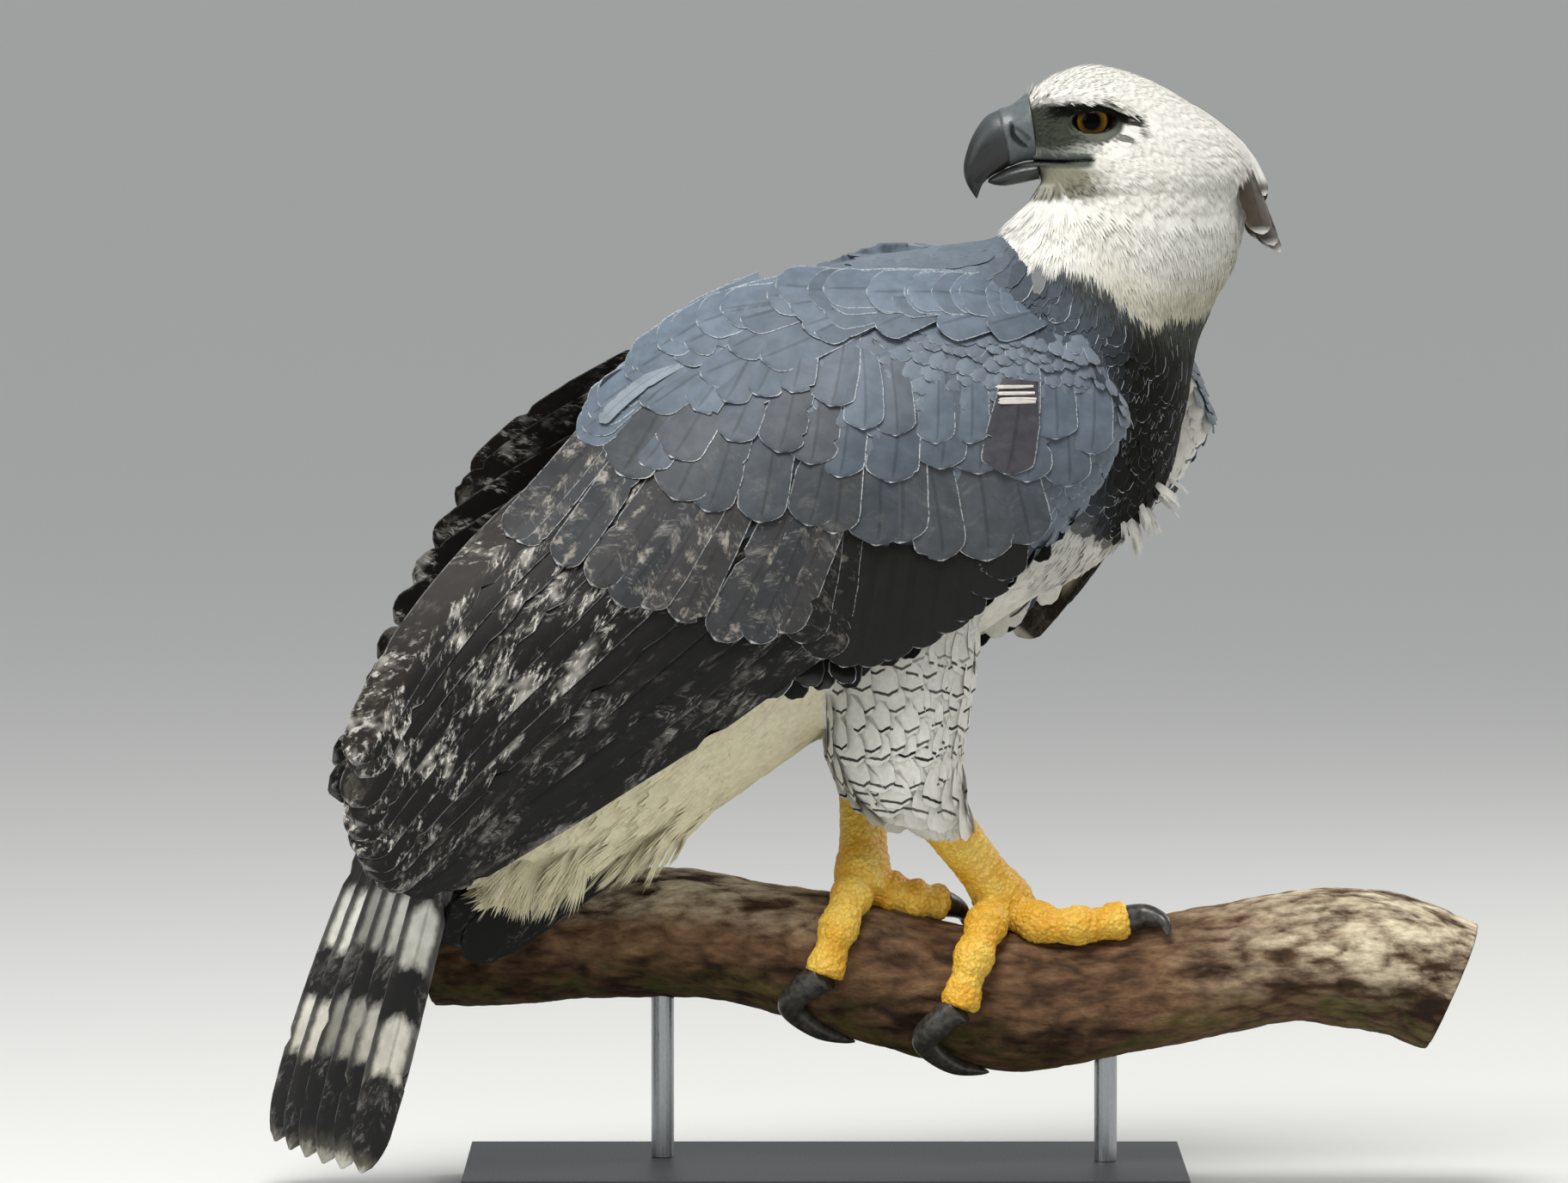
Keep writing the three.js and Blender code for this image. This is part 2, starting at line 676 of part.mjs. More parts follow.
function branchOf(grow = 0) {
  const steps = 16;
  const rings = [];
  for (let i = 0; i <= steps; i += 1) {
    const centre = branchCurve.getPointAt(i / steps);
    const ahead = branchCurve.getTangentAt(i / steps);
    const side = new THREE.Vector3(0, 1, 0).addScaledVector(ahead, -ahead.y).normalize();
    const up = side.clone().cross(ahead).negate();
    const ring = [];
    for (let k = 0; k < 16; k += 1) {
      const turn = (k / 16) * Math.PI * 2;
      const lump = 0.03 * Math.sin(3 * turn + centre.x / 60) + 0.02 * Math.sin(5 * turn - centre.x / 34);
      const r = branchSize(centre.x) * (1 + lump) + grow;
      ring.push(
        centre.clone().addScaledVector(side, Math.cos(turn) * r).addScaledVector(up, Math.sin(turn) * r),
      );
    }
    rings.push(ring);
  }
  return loft(stretch(rings, grow, grow));
}

// A point round the branch: x along it, turn in degrees from its top toward the near side.
function onBranch(x, turn, lift) {
  const span = branchLine.findIndex((row) => row[0] > x);
  const [x0, y0, z0] = branchLine[span - 1];
  const [x1, y1, z1] = branchLine[span];
  const f = (x - x0) / (x1 - x0);
  const r = branchSize(x) * 1.02 + lift;
  const angle = THREE.MathUtils.degToRad(turn);
  return new THREE.Vector3(
    x,
    y0 + (y1 - y0) * f - Math.sin(angle) * r,
    z0 + (z1 - z0) * f + Math.cos(angle) * r,
  );
}

function thighShape(rings, grow = 0) {
  const shape = rings.map(([x, y, z, alongX, alongY], i) => {
    const ring = [];
    const low = i === rings.length - 1 ? grow : 0;
    for (let k = 0; k < 16; k += 1) {
      const turn = (k / 16) * Math.PI * 2;
      const [rx, ry] = [alongX + grow, alongY + grow];
      ring.push(new THREE.Vector3(x + Math.cos(turn) * rx, y + Math.sin(turn) * ry, z - low));
    }
    return ring;
  });
  return loft(shape);
}

const ankleOf = (foot) => onBranch(foot.at - 3, 4, 22);

function shankOf(foot, grow = 0) {
  const top = new THREE.Vector3(...foot.shankTop);
  const low = ankleOf(foot);
  low.addScaledVector(low.clone().sub(top).normalize(), grow);
  const radius = (f) => THREE.MathUtils.lerp(...shankRadius, f) + grow;
  return bar([top, top.clone().lerp(low, 0.5), low], radius, 12, 4);
}

// A toe from the foot's middle to its claw, a little knobbly along its length.
function toeOf(foot, plan, grow = 0) {
  const path = plan.path.map(([x, turn], i) => onBranch(foot.at + x, turn, i ? toeRadius * 0.82 : 12));
  if (grow) {
    const end = path[path.length - 1];
    end.addScaledVector(end.clone().sub(path[path.length - 2]).normalize(), grow);
  }
  return bar(path, (f) => toeRadius * (1.12 - 0.2 * f + 0.07 * Math.sin(f * 14)) + grow, 8, 6);
}

function footOf(foot, toes, others) {
  const top = new THREE.Vector3(...foot.shankTop);
  const ankle = ankleOf(foot);
  const down = ankle.clone().sub(top).normalize();
  const heel = [-2, 10, 26].map((step) => ankle.clone().addScaledVector(down, step));
  const pieces = [bar(heel, (f) => shankRadius[1] + 1.5 + 2 * f, 12, 3)];
  for (const plan of toes) pieces.push(toeOf(foot, plan));
  return largest(without(joined(pieces), ...others));
}

function clawOf(foot, plan, others) {
  const last = plan.path[plan.path.length - 1];
  const start = onBranch(foot.at + last[0], last[1], toeRadius * 0.82);
  const size = plan.name === "hind" ? 9.6 : 8;
  const lifts = [9, 8, 7, 3.4];
  const points = [start, ...plan.claw.map(([x, turn], i) => onBranch(foot.at + x, turn, lifts[i]))];
  return largest(without(bar(points, (f) => size * (1 - f) ** 0.62 + 0.9, 7, 5), ...others));
}

function rodOf(x, branch) {
  const length = 320;
  const top = onBranch(x, 0, 0);
  const foot = -middleHeight + baseSize[2] + gap;
  const rod = solidOf(
    new THREE.CylinderGeometry(rodRadius, rodRadius, length, 20).rotateX(Math.PI / 2),
    new THREE.Matrix4().makeTranslation(x, top.y, foot + length / 2),
  );
  const above = solidOf(
    new THREE.BoxGeometry(60, 60, 400),
    new THREE.Matrix4().makeTranslation(x, 0, top.z + 180),
  );
  return largest(without(rod, branch, above));
}

const model = new THREE.Group();
const bird = new THREE.Group();
bird.position.z = middleHeight;
model.add(bird);

function place(name, shape, colour, roughness = 0.75, group = bird) {
  const { vertProperties, triVerts } = shape.getMesh();
  const geometry = new THREE.BufferGeometry();
  geometry.setAttribute("position", new THREE.BufferAttribute(new Float32Array(vertProperties), 3));
  geometry.setIndex(new THREE.BufferAttribute(new Uint32Array(triVerts), 1));
  geometry.computeVertexNormals();
  const mesh = new THREE.Mesh(
    geometry,
    new THREE.MeshStandardMaterial({ color: colour, roughness, metalness: 0, flatShading: true }),
  );
  mesh.name = name;
  group.add(mesh);
}

const torsoGrown = torsoOf(gap);
const neckGrown = neckOf(gap);
const branchGrown = branchOf(gap);
const wingRooms = [wingRoom(rightWing), wingRoom(leftWing)];

place("head", headOf([]), colours.white);
place("bill_upper", upperBillOf(), colours.bill, 0.4);
place("bill_lower", largest(without(billOf(lowerBill, 0), upperBillOf(gap))), colours.bill, 0.4);
place("eye_left", eyeOf(-1), colours.iris, 0.1);
place("eye_right", eyeOf(1), colours.iris, 0.1);
place("neck", neckOf(0), colours.slate);
place("torso", torsoOf(0), colours.slate);
place("wing_right", wingOf(rightWing, [torsoGrown, neckGrown]), colours.charcoal);
place("wing_left", wingOf(leftWing, [torsoGrown, neckGrown]), colours.charcoal);
place("tail", tailOf([torsoGrown, ...wingRooms]), colours.charcoal);
const legs = [
  ["right", rightFoot, thighRight, wingRooms[0]],
  ["left", leftFoot, thighLeft, wingRooms[1]],
];
for (const [side, foot, thigh, wing] of legs) {
  const toes = [...toePlans, innerToes[side]];
  place("thigh_" + side, largest(without(thighShape(thigh), torsoGrown, wing)), colours.white);
  const shank = largest(without(shankOf(foot), thighShape(thigh, gap)));
  place("shank_" + side, shank, colours.yellow, 0.6);
  place("foot_" + side, footOf(foot, toes, [branchGrown, shankOf(foot, gap)]), colours.yellow, 0.6);
  for (const plan of toes) {
    const claw = clawOf(foot, plan, [branchGrown, toeOf(foot, plan, gap)]);
    place("claw_" + side + "_" + plan.name, claw, colours.claw, 0.4);
  }
}
place("perch_branch", branchOf(), colours.bark, 0.9);

const stand = new THREE.Mesh(
  new THREE.BoxGeometry(...baseSize),
  new THREE.MeshStandardMaterial({ color: colours.plate, roughness: 0.5, metalness: 0 }),
);
stand.name = "stand_base";
stand.position.z = baseSize[2] / 2;
model.add(stand);
place("stand_rod_rear", rodOf(rodPlaces[0], branchGrown), colours.steel, 0.35);
place("stand_rod_front", rodOf(rodPlaces[1], branchGrown), colours.steel, 0.35);

export default model;
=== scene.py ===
# Harpy eagle on a cut branch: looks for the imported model. Metres in Blender, millimetres in the tables.
import json
import math
import bpy
import bmesh
import numpy as np
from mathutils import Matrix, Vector, kdtree

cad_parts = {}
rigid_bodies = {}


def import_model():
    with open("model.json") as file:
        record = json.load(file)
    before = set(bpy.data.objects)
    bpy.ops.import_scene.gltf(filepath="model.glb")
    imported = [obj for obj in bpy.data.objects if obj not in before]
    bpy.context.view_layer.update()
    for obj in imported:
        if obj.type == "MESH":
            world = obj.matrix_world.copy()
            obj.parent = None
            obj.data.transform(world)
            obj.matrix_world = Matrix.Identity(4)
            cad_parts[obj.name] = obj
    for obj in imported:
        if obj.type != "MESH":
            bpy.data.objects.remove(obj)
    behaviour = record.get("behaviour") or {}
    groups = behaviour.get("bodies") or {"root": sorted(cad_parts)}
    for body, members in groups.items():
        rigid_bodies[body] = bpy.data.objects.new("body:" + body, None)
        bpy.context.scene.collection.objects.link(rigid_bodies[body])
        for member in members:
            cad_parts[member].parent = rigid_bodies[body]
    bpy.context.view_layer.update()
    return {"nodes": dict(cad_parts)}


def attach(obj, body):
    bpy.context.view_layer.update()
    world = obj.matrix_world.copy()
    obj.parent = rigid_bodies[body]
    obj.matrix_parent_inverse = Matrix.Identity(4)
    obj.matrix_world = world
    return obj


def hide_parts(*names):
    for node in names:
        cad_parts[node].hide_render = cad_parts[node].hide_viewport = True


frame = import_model()
print("frame loaded:", len(frame["nodes"]), "nodes")

midHeight = 370.0  # tables below count z from here
bodyYaw = math.radians(12)
bodyPivot = 60.0
headYaw = math.radians(5)
headPivot = (150.0, 20.0)
scene = bpy.context.scene


def rgb(code):
    # a paint-chart colour such as "8a9099", made linear
    v = np.array([int(code[i:i + 2], 16) for i in (0, 2, 4)]) / 255
    return np.where(v <= 0.04045, v / 12.92, ((v + 0.055) / 1.055) ** 2.4)


def ease(x, low, high):
    t = np.clip((np.asarray(x, float) - low) / (high - low), 0, 1)
    return t * t * (3 - 2 * t)


def unit(v):
    v = np.asarray(v, float)
    return v / np.maximum(np.linalg.norm(v, axis=-1, keepdims=True), 1e-9)


def blend(a, b, share):
    # a where share is 0, b where it is 1
    share = np.asarray(share, float)[..., None]
    return a * (1 - share) + b * share


def toMetres(place):
    # table millimetres to Blender's metres
    return (np.array(place, float) + (0, 0, midHeight)) * 0.001


def ringTurn(sides):
    # the angles round a ring
    return np.arange(sides) / sides * 2 * np.pi


def lookup(place):
    # finds the nearest of these points
    tree = kdtree.KDTree(len(place))
    for i, p in enumerate(place):
        tree.insert(p, i)
    tree.balance()
    return tree


def bodyPoint(x, z, out, share=0.0):
    # share says how far the body's plane has become the head's
    x, z, out, share = np.broadcast_arrays(*(np.asarray(v, float) for v in (x, z, out, share)))
    body = (x - bodyPivot) * math.tan(bodyYaw) + out / math.cos(bodyYaw)
    head = headPivot[1] + (x - headPivot[0]) * math.tan(headYaw) + out / math.cos(headYaw)
    return np.stack([x, body + (head - body) * share, z], -1)


def headPoint(x, z, out):
    return bodyPoint(x, z, out, 1.0)


def tableValue(rows, x, blur=0.0):
    # value at x of a table of (x, value) rows, its corners rounded over blur
    rows = np.array(rows, float)
    x = np.asarray(x, float)
    if not blur:
        return np.interp(x, rows[:, 0], rows[:, 1])
    steps = ((-1.5, 0.12), (-0.75, 0.22), (0, 0.32), (0.75, 0.22), (1.5, 0.12))
    return sum(w * np.interp(x + s * blur, rows[:, 0], rows[:, 1]) for s, w in steps)


def splinePoints(points, count):
    # Catmull-Rom through points, evenly by parameter
    p = np.array(points, float)
    last = len(p) - 1
    t = np.linspace(0, last, count)
    i = np.minimum(t.astype(int), last - 1)
    u = (t - i)[:, None]
    a, b, c, d = p[np.maximum(i - 1, 0)], p[i], p[i + 1], p[np.minimum(i + 2, last)]
    bend, twist = 2 * a - 5 * b + 4 * c - d, 3 * b - a - 3 * c + d
    return 0.5 * (2 * b + (c - a) * u + bend * u ** 2 + twist * u ** 3)


def runOf(path):
    # how far along a path each of its points is
    return np.concatenate([[0], np.cumsum(np.linalg.norm(np.diff(path, axis=0), axis=1))])


def evenly(points, count):
    # the same path with its points spaced evenly by length
    p = np.array(points, float)
    run = runOf(p)
    t = np.linspace(0, run[-1], count)
    return np.stack([np.interp(t, run, p[:, k]) for k in range(p.shape[1])], -1)


def linkMesh(name, mesh):
    obj = bpy.data.objects.new(name, mesh)
    scene.collection.objects.link(obj)
    return obj


def smoothed(obj):
    obj.data.polygons.foreach_set("use_smooth", [True] * len(obj.data.polygons))
    return obj


def makeMesh(name, verts, faces):
    mesh = bpy.data.meshes.new(name)
    mesh.from_pydata(toMetres(verts).tolist(), [], faces)
    mesh.update()
    return smoothed(linkMesh(name, mesh))


def faceOut(obj, crease=None):
    # faces point outwards; edges bent by more than crease stay sharp in the shading
    bm = bmesh.new()
    bm.from_mesh(obj.data)
    bmesh.ops.recalc_face_normals(bm, faces=bm.faces)
    if crease:
        for edge in bm.edges:
            if edge.calc_face_angle(0) > crease:
                edge.smooth = False
    bm.to_mesh(obj.data)
    bm.free()
    return obj


def ringFaces(count, sides):
    # the quads between each ring of points and the next
    corners = [(i * sides + k, i * sides + (k + 1) % sides) for i in range(count - 1) for k in range(sides)]
    return [(p, q, q + sides, p + sides) for p, q in corners]


def loftMesh(name, rings):
    rings = np.array(rings, float)
    count, sides = rings.shape[:2]
    ends = [tuple(reversed(range(sides))), tuple(range((count - 1) * sides, count * sides))]
    return faceOut(makeMesh(name, rings.reshape(-1, 3), ringFaces(count, sides) + ends))


def tubeRings(points, radii, sides, squash=1.0):
    # rings round a path that don't twist; squash flattens them
    p = np.array(points, float)
    r = np.broadcast_to(np.array(radii, float), (len(p),))
    ahead = unit(np.gradient(p, axis=0))
    side = np.cross(ahead[0], (0, 0, 1) if abs(ahead[0][2]) < 0.9 else (1, 0, 0))
    turn = ringTurn(sides)
    rings = []
    for i in range(len(p)):
        side = unit(side - ahead[i] * side.dot(ahead[i]))
        up = np.cross(ahead[i], side)
        rings.append(p[i] + r[i] * (np.cos(turn)[:, None] * side + squash * np.sin(turn)[:, None] * up))
    return np.array(rings)


def tube(name, points, radii, sides, count, **more):
    path = evenly(splinePoints(points, count * 4), count)
    size = np.interp(np.linspace(0, 1, count), np.linspace(0, 1, len(radii)), radii)
    return loftMesh(name, tubeRings(path, size, sides, **more))


def joinObjects(name, objects):
    bm = bmesh.new()
    for obj in objects:
        bm.from_mesh(obj.data)
    mesh = bpy.data.meshes.new(name)
    bm.to_mesh(mesh)
    bm.free()
    for obj in objects:
        bpy.data.objects.remove(obj)
    return linkMesh(name, mesh)


def applied(obj):
    # the evaluated mesh becomes the object's plain mesh, and its modifiers go
    graph = bpy.context.evaluated_depsgraph_get()
    graph.update()
    mesh = bpy.data.meshes.new_from_object(obj.evaluated_get(graph))
    obj.modifiers.clear()
    obj.data = mesh
    return obj


def remeshed(obj, voxel, smoothTimes):
    step = obj.modifiers.new("remesh", "REMESH")
    step.mode = "VOXEL"
    step.voxel_size = voxel * 0.001
    step.use_smooth_shade = True
    soft = obj.modifiers.new("smooth", "SMOOTH")
    soft.factor = 0.5
    soft.iterations = smoothTimes
    return applied(obj)


def points(obj):
    # the mesh's points in table millimetres
    co = np.empty(len(obj.data.vertices) * 3)
    obj.data.vertices.foreach_get("co", co)
    return co.reshape(-1, 3) * 1000 - (0, 0, midHeight)


def setPoints(obj, place):
    obj.data.vertices.foreach_set("co", toMetres(place).ravel())
    obj.data.update()


def normals(obj):
    n = np.empty(len(obj.data.vertices) * 3)
    obj.data.vertices.foreach_get("normal", n)
    return n.reshape(-1, 3)


def store(obj, name, kind, values):
    # one value for each point, kept on the mesh under a name
    field = {"FLOAT_COLOR": "color", "FLOAT_VECTOR": "vector"}.get(kind, "value")
    layer = obj.data.attributes.new(name, kind, "POINT")
    layer.data.foreach_set(field, np.asarray(values, np.int32 if kind == "INT" else np.float32).ravel())


def paint(obj, colours, rim=1.0):
    # each point's colour; its alpha says how pale a feather's rim is
    rows = np.ones((len(obj.data.vertices), 4))
    rows[:, :3] = colours
    rows[:, 3] = rim
    store(obj, "tint", "FLOAT_COLOR", rows)


def finish(piece, slotName, *replaced):
    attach(piece, "root")
    if replaced:
        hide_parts(*replaced)
    return piece


# Material helpers.
def colour4(code):
    return (*rgb(code), 1.0)


class Value:
    # a node's output that plain arithmetic can use
    def __init__(self, wiring, socket):
        self.wiring = wiring
        self.socket = socket

    def __add__(self, other):
        return self.wiring.maths("ADD", self, other)

    def __sub__(self, other):
        return self.wiring.maths("SUBTRACT", self, other)

    def __rsub__(self, other):
        return self.wiring.maths("SUBTRACT", other, self)

    def __mul__(self, other):
        return self.wiring.maths("MULTIPLY", self, other)

    def __truediv__(self, other):
        return self.wiring.maths("DIVIDE", self, other)

    def __abs__(self):
        return self.wiring.maths("ABSOLUTE", self)


class Wiring:
    # short words for building a node tree
    def __init__(self, tree):
        self.tree = tree

    def put(self, node, inputs):
        # each input, by name or number, is linked to a value or set
        for key, value in dict(inputs).items():
            if isinstance(value, Value):
                self.tree.links.new(value.socket, node.inputs[key])
            else:
                node.inputs[key].default_value = value

    def node(self, kind, inputs=(), **settings):
        made = self.tree.nodes.new(kind)
        for key, value in settings.items():
            setattr(made, key, value)
        self.put(made, inputs)
        return made

    def get(self, kind, inputs=(), output=0, **settings):
        return Value(self, self.node(kind, inputs, **settings).outputs[output])

    def maths(self, operation, *values, clamp=False):
        return self.get("ShaderNodeMath", enumerate(values), operation=operation, use_clamp=clamp)

    def vector(self, operation, *values):
        output = "Value" if operation == "DOT_PRODUCT" else "Vector"
        return self.get("ShaderNodeVectorMath", enumerate(values), output, operation=operation)

    def mix(self, factor, a, b, way="MIX"):
        return self.get("ShaderNodeMix", {0: factor, 6: a, 7: b}, 2, data_type="RGBA", blend_type=way)

    def times(self, colour, by):
        return self.mix(1.0, colour, by, "MULTIPLY")

    def range(self, value, low, high, toLow=0.0, toHigh=1.0):
        inputs = enumerate((value, low, high, toLow, toHigh))
        return self.get("ShaderNodeMapRange", inputs, interpolation_type="SMOOTHSTEP")

    def noise(self, place, scale, detail, rough):
        inputs = {"Vector": place, "Scale": scale, "Detail": detail, "Roughness": rough}
        return self.get("ShaderNodeTexNoise", inputs, "Fac")

    def bump(self, height, strength, distance, shader):
        inputs = {"Height": height, "Strength": strength, "Distance": distance}
        self.put(shader, {"Normal": self.get("ShaderNodeBump", inputs)})

    def place(self):
        return self.get("ShaderNodeTexCoord", output="Object")

    def stored(self, name, output="Vector"):
        return self.get("ShaderNodeAttribute", output=output, attribute_name=name)

    def joined(self, *values):
        return self.get("ShaderNodeCombineXYZ", enumerate(values))

    def parts(self, vector):
        return [Value(self, socket) for socket in self.node("ShaderNodeSeparateXYZ", {0: vector}).outputs]

    def ramp(self, value, stops):
        # colours along a value, as (position, colour)
        made = self.node("ShaderNodeValToRGB", {0: value})
        marks = made.color_ramp.elements
        while len(marks) < len(stops):
            marks.new(0.5)
        for mark, (position, code) in zip(marks, stops):
            mark.position = position
            mark.color = colour4(code)
        return Value(self, made.outputs[0])


def newMaterial(name, roughness):
    material = bpy.data.materials.new(name)
    material.use_nodes = True
    w = Wiring(material.node_tree)
    shader = material.node_tree.nodes["Principled BSDF"]
    w.put(shader, {"Roughness": roughness})
    return material, w, shader


# Camera, light and floor.
viewSettings = {"distance": 7.0, "elevation": 3.0, "pictureWidth": 0.96, "aimX": -0.0253, "aimZ": 0.370}


def addCamera(s):
    camera = bpy.data.cameras.new("camera")
    camera.sensor_width = 36.0
    camera.lens = 36.0 * s["distance"] / s["pictureWidth"]
    camera.clip_end = 5000
    obj = bpy.data.objects.new("camera", camera)
    scene.collection.objects.link(obj)
    tilt = math.radians(s["elevation"])
    obj.location = (s["aimX"], -s["distance"] * math.cos(tilt), s["aimZ"] + s["distance"] * math.sin(tilt))
    obj.rotation_euler = (math.radians(90) - tilt, 0, 0)
    scene.camera = obj


def addLight(name, place, aim, power, size, colour):
    light = bpy.data.lights.new(name, "AREA")
    light.energy = power
    light.color = colour
    light.size = size
    obj = bpy.data.objects.new(name, light)
    scene.collection.objects.link(obj)
    obj.location = place
    obj.rotation_euler = (Vector(aim) - Vector(place)).to_track_quat("-Z", "Y").to_euler()


def addFloor(shade, radii=(2, 8, 40, 250, 1500), sides=48):
    # a flat floor that runs out to the horizon
    verts, faces = [(0, 0, 0)], []
    for ring, radius in enumerate(radii):
        verts += [(radius * math.cos(k), radius * math.sin(k), 0) for k in ringTurn(sides)]
        inner, outer = 1 + (ring - 1) * sides, 1 + ring * sides
        for i in range(sides):
            j = (i + 1) % sides
            faces.append((inner + i, outer + i, outer + j, inner + j) if ring else (0, outer + i, outer + j))
    mesh = bpy.data.meshes.new("floor")
    mesh.from_pydata(verts, [], faces)
    material, w, shader = newMaterial("paleFloor", 0.9)
    w.put(shader, {"Base Color": (*shade, 1)})
    mesh.materials.append(material)
    linkMesh("floor", mesh)


addCamera(viewSettings)
addFloor((0.72, 0.72, 0.70))
addLight("topSoft", (-0.4, -1.5, 3.2), (0, 0, 0.4), 105, 1.5, (1.0, 0.99, 0.97))
addLight("leftSoft", (-2.8, -1.6, 1.6), (0, 0, 0.4), 22, 1.8, (0.96, 0.98, 1.0))
addLight("rightRim", (2.4, 1.8, 2.0), (0, 0, 0.4), 34, 1.6, (1.0, 0.98, 0.94))
scene.view_settings.view_transform = "Standard"
world = bpy.data.worlds.new("studio")
world.use_nodes = True
world.node_tree.nodes["Background"].inputs["Color"].default_value = (0.93, 0.95, 0.97, 1)
world.node_tree.nodes["Background"].inputs["Strength"].default_value = 0.5
scene.world = world
print("camera, light and floor placed")


def plumageMaterial(name, roughness, shine, barbs=True):
    # each point carries its own colour; the feather's own map gives barbs, a dark bar and a pale rim
    material, w, shader = newMaterial(name, roughness)
    colour = w.stored("tint", "Color")
    soft = w.noise(w.place(), 260, 3, 0.6)
    if barbs:
        u, v, _ = w.parts(w.stored("vane"))
        across = abs(u * 2.0 - 1.0)
        lines = w.maths("SINE", v * 84.0 + across * -34.0) * 0.035 + 0.98
        colour = w.times(colour, lines)
        rim = w.range(w.maths("MAXIMUM", across, w.range(v, 0.86, 1.0)), 0.90, 0.99)
        colour = w.mix(rim * w.stored("tint", "Alpha"), colour, colour4("c3cad0"))
        bend = v + abs(u * 2.0 - 1.35) * 0.13 + (soft - 0.5) * 0.07
        band = w.range(bend, 0.82, 0.84) * w.range(bend, 0.92, 0.89) * w.stored("band", "Fac")
        colour = w.mix(band, colour, colour4("1c1a17"))
        w.bump(lines, 0.25, 0.0003, shader)
    colour = w.times(colour, w.range(soft, 0.3, 0.7, 0.92, 1.06))
    w.put(shader, {"Base Color": colour, "Specular IOR Level": shine})
    return material


softPlumage = plumageMaterial("softPlumage", 0.85, 0.1)
slatePlumage = plumageMaterial("slatePlumage", 0.55, 0.22)
skinTone = plumageMaterial("skinUnderCoat", 0.8, 0.0, barbs=False)

# The body's form, the same tables as the solids: back or throat end, belly or crown end, half width.
torsoSections = [
    (-217, -125, -183, -180, 22), (-203, -85, -137, -164, 40), (-179, -25, -84, -146, 56),
    (-147, 46, -16, -101, 70), (-103, 123, 58, -51, 80), (-47, 178, 132, -6, 84), (13, 204, 184, 28, 84),
    (66, 213, 213, 70, 80), (100, 219, 225, 115, 74), (109, 225, 233, 152, 68),
]
neckSections = [(114, 232, 245, 181, 62), (119, 237, 256, 207, 59), (124, 242, 263, 238, 56)]
headSections = [
    (127, 246, 262, 263, 53), (129, 248.5, 247, 284, 49), (130, 250, 218, 305, 43),
    (130.6, 251, 189, 319, 37), (131, 251.8, 161, 324, 32), (131.1, 252.5, 138, 317, 26),
    (131, 253, 123.5, 306, 19),
]
thighRight = [
    (45, -48, 30, 46, 34), (45, -50, -20, 50, 34), (44, -49, -60, 48, 33), (43, -46, -96, 44, 31),
    (52, -40, -122, 37, 28), (66, -34, -138, 26, 23), (73, -32, -147, 19.5, 19),
]
thighLeft = [
    (42, 42, 30, 44, 28), (38, 42, -20, 46, 28), (34, 42, -60, 40, 26), (28, 41, -92, 31, 24),
    (25, 41, -112, 22, 21), (25, 40, -119, 19.5, 19),
]
rightWing = {
    "side": -1, "wrist": (179, 109), "slope": math.radians(30.9),
    "height": [(-10, 78), (10, 92), (60, 102), (150, 108), (250, 102), (350, 86), (450, 68), (540, 52)],
    "backDrop": [(0, 30), (95, 50), (144, 80), (231, 80), (338, 62), (415, 40), (540, 15)],
    "bellyDrop": [(0, 12), (540, 10)],
    "back": [(-8, -60), (0, -82), (12, -102), (95, -149), (144, -186), (231, -184), (338, -152)],
    "belly": [(-8, 3), (0, 16), (26, 33), (67, 46), (140, 56), (206, 54), (232, 37), (338, 36)],
    "roots": [(215, -146), (210, -70), (205, 20)],
    "bends": [(400, -145), (425, -92), (430, -48), (415, -8), (360, 22)],
    "tips": [(503, -60), (522, -30), (533, -4), (526, 14), (500, 24)],
    "flights": 13, "flightWidth": (28, 32),
    "alula": [(244, -2), (232, 26), (212, 50), (176, 56), (140, 53), (108, 45)],
}
leftWing = {
    "side": 1, "wrist": (237, 107), "slope": math.radians(22),
    "height": [(-10, 76), (10, 86), (60, 98), (150, 106), (250, 100), (350, 87), (450, 82), (570, 69)],
    "backDrop": [(0, 22), (95, 45), (144, 74), (231, 76), (338, 52), (440, 26), (570, 8)],
    "bellyDrop": [(0, 8), (150, 12), (570, 15)],
    "back": [(-5, -44), (4, -78), (20, -106), (95, -149), (144, -180), (231, -184), (338, -168)],
    "belly": [(-5, 8), (8, 24), (45, 46), (100, 62), (163, 80), (240, 84), (338, 96)],
    "roots": [(215, -158), (215, -40), (215, 60)],
    "bends": [(350, -168), (390, -105), (410, -40), (410, 10), (390, 60), (370, 90)],
    "tips": [(434, -130), (492, -86), (543, -38), (586, 12), (576, 76), (548, 134)],
    "flights": 16, "flightWidth": (28, 34),
    "greater": [(352, -150), (346, -80), (330, 0), (290, 74), (262, 84)],
    "median": [(250, -128), (215, -50), (188, 40), (150, 70)],
    "lesser": [(170, -112), (130, -50), (100, 30), (72, 42)],
    "alula": [(262, 40), (236, 66), (200, 84), (150, 70)],
}


def wingSurface(wing):
    # a toward the tip, b toward the belly edge, lift outwards
    c, s = math.cos(wing["slope"]), math.sin(wing["slope"])

    def surface(a, b, lift=0.0):
        a, b, lift = np.broadcast_arrays(*(np.asarray(v, float) for v in (a, b, lift)))
        x = wing["wrist"][0] - a * c + b * s
        z = wing["wrist"][1] - a * s - b * c
        backEdge = tableValue(wing["back"], a, 14)
        backShare = np.clip((-40 - b) / (-40 - np.minimum(backEdge, -60)), 0, 1.25)
        bellyShare = np.clip(b / 60, 0, 1.6)
        out = tableValue(wing["height"], a, 24) - backShare ** 2 * tableValue(wing["backDrop"], a, 20)
        out = out - bellyShare ** 2 * tableValue(wing["bellyDrop"], a, 20)
        return bodyPoint(x, z, wing["side"] * (out + lift))

    return surface


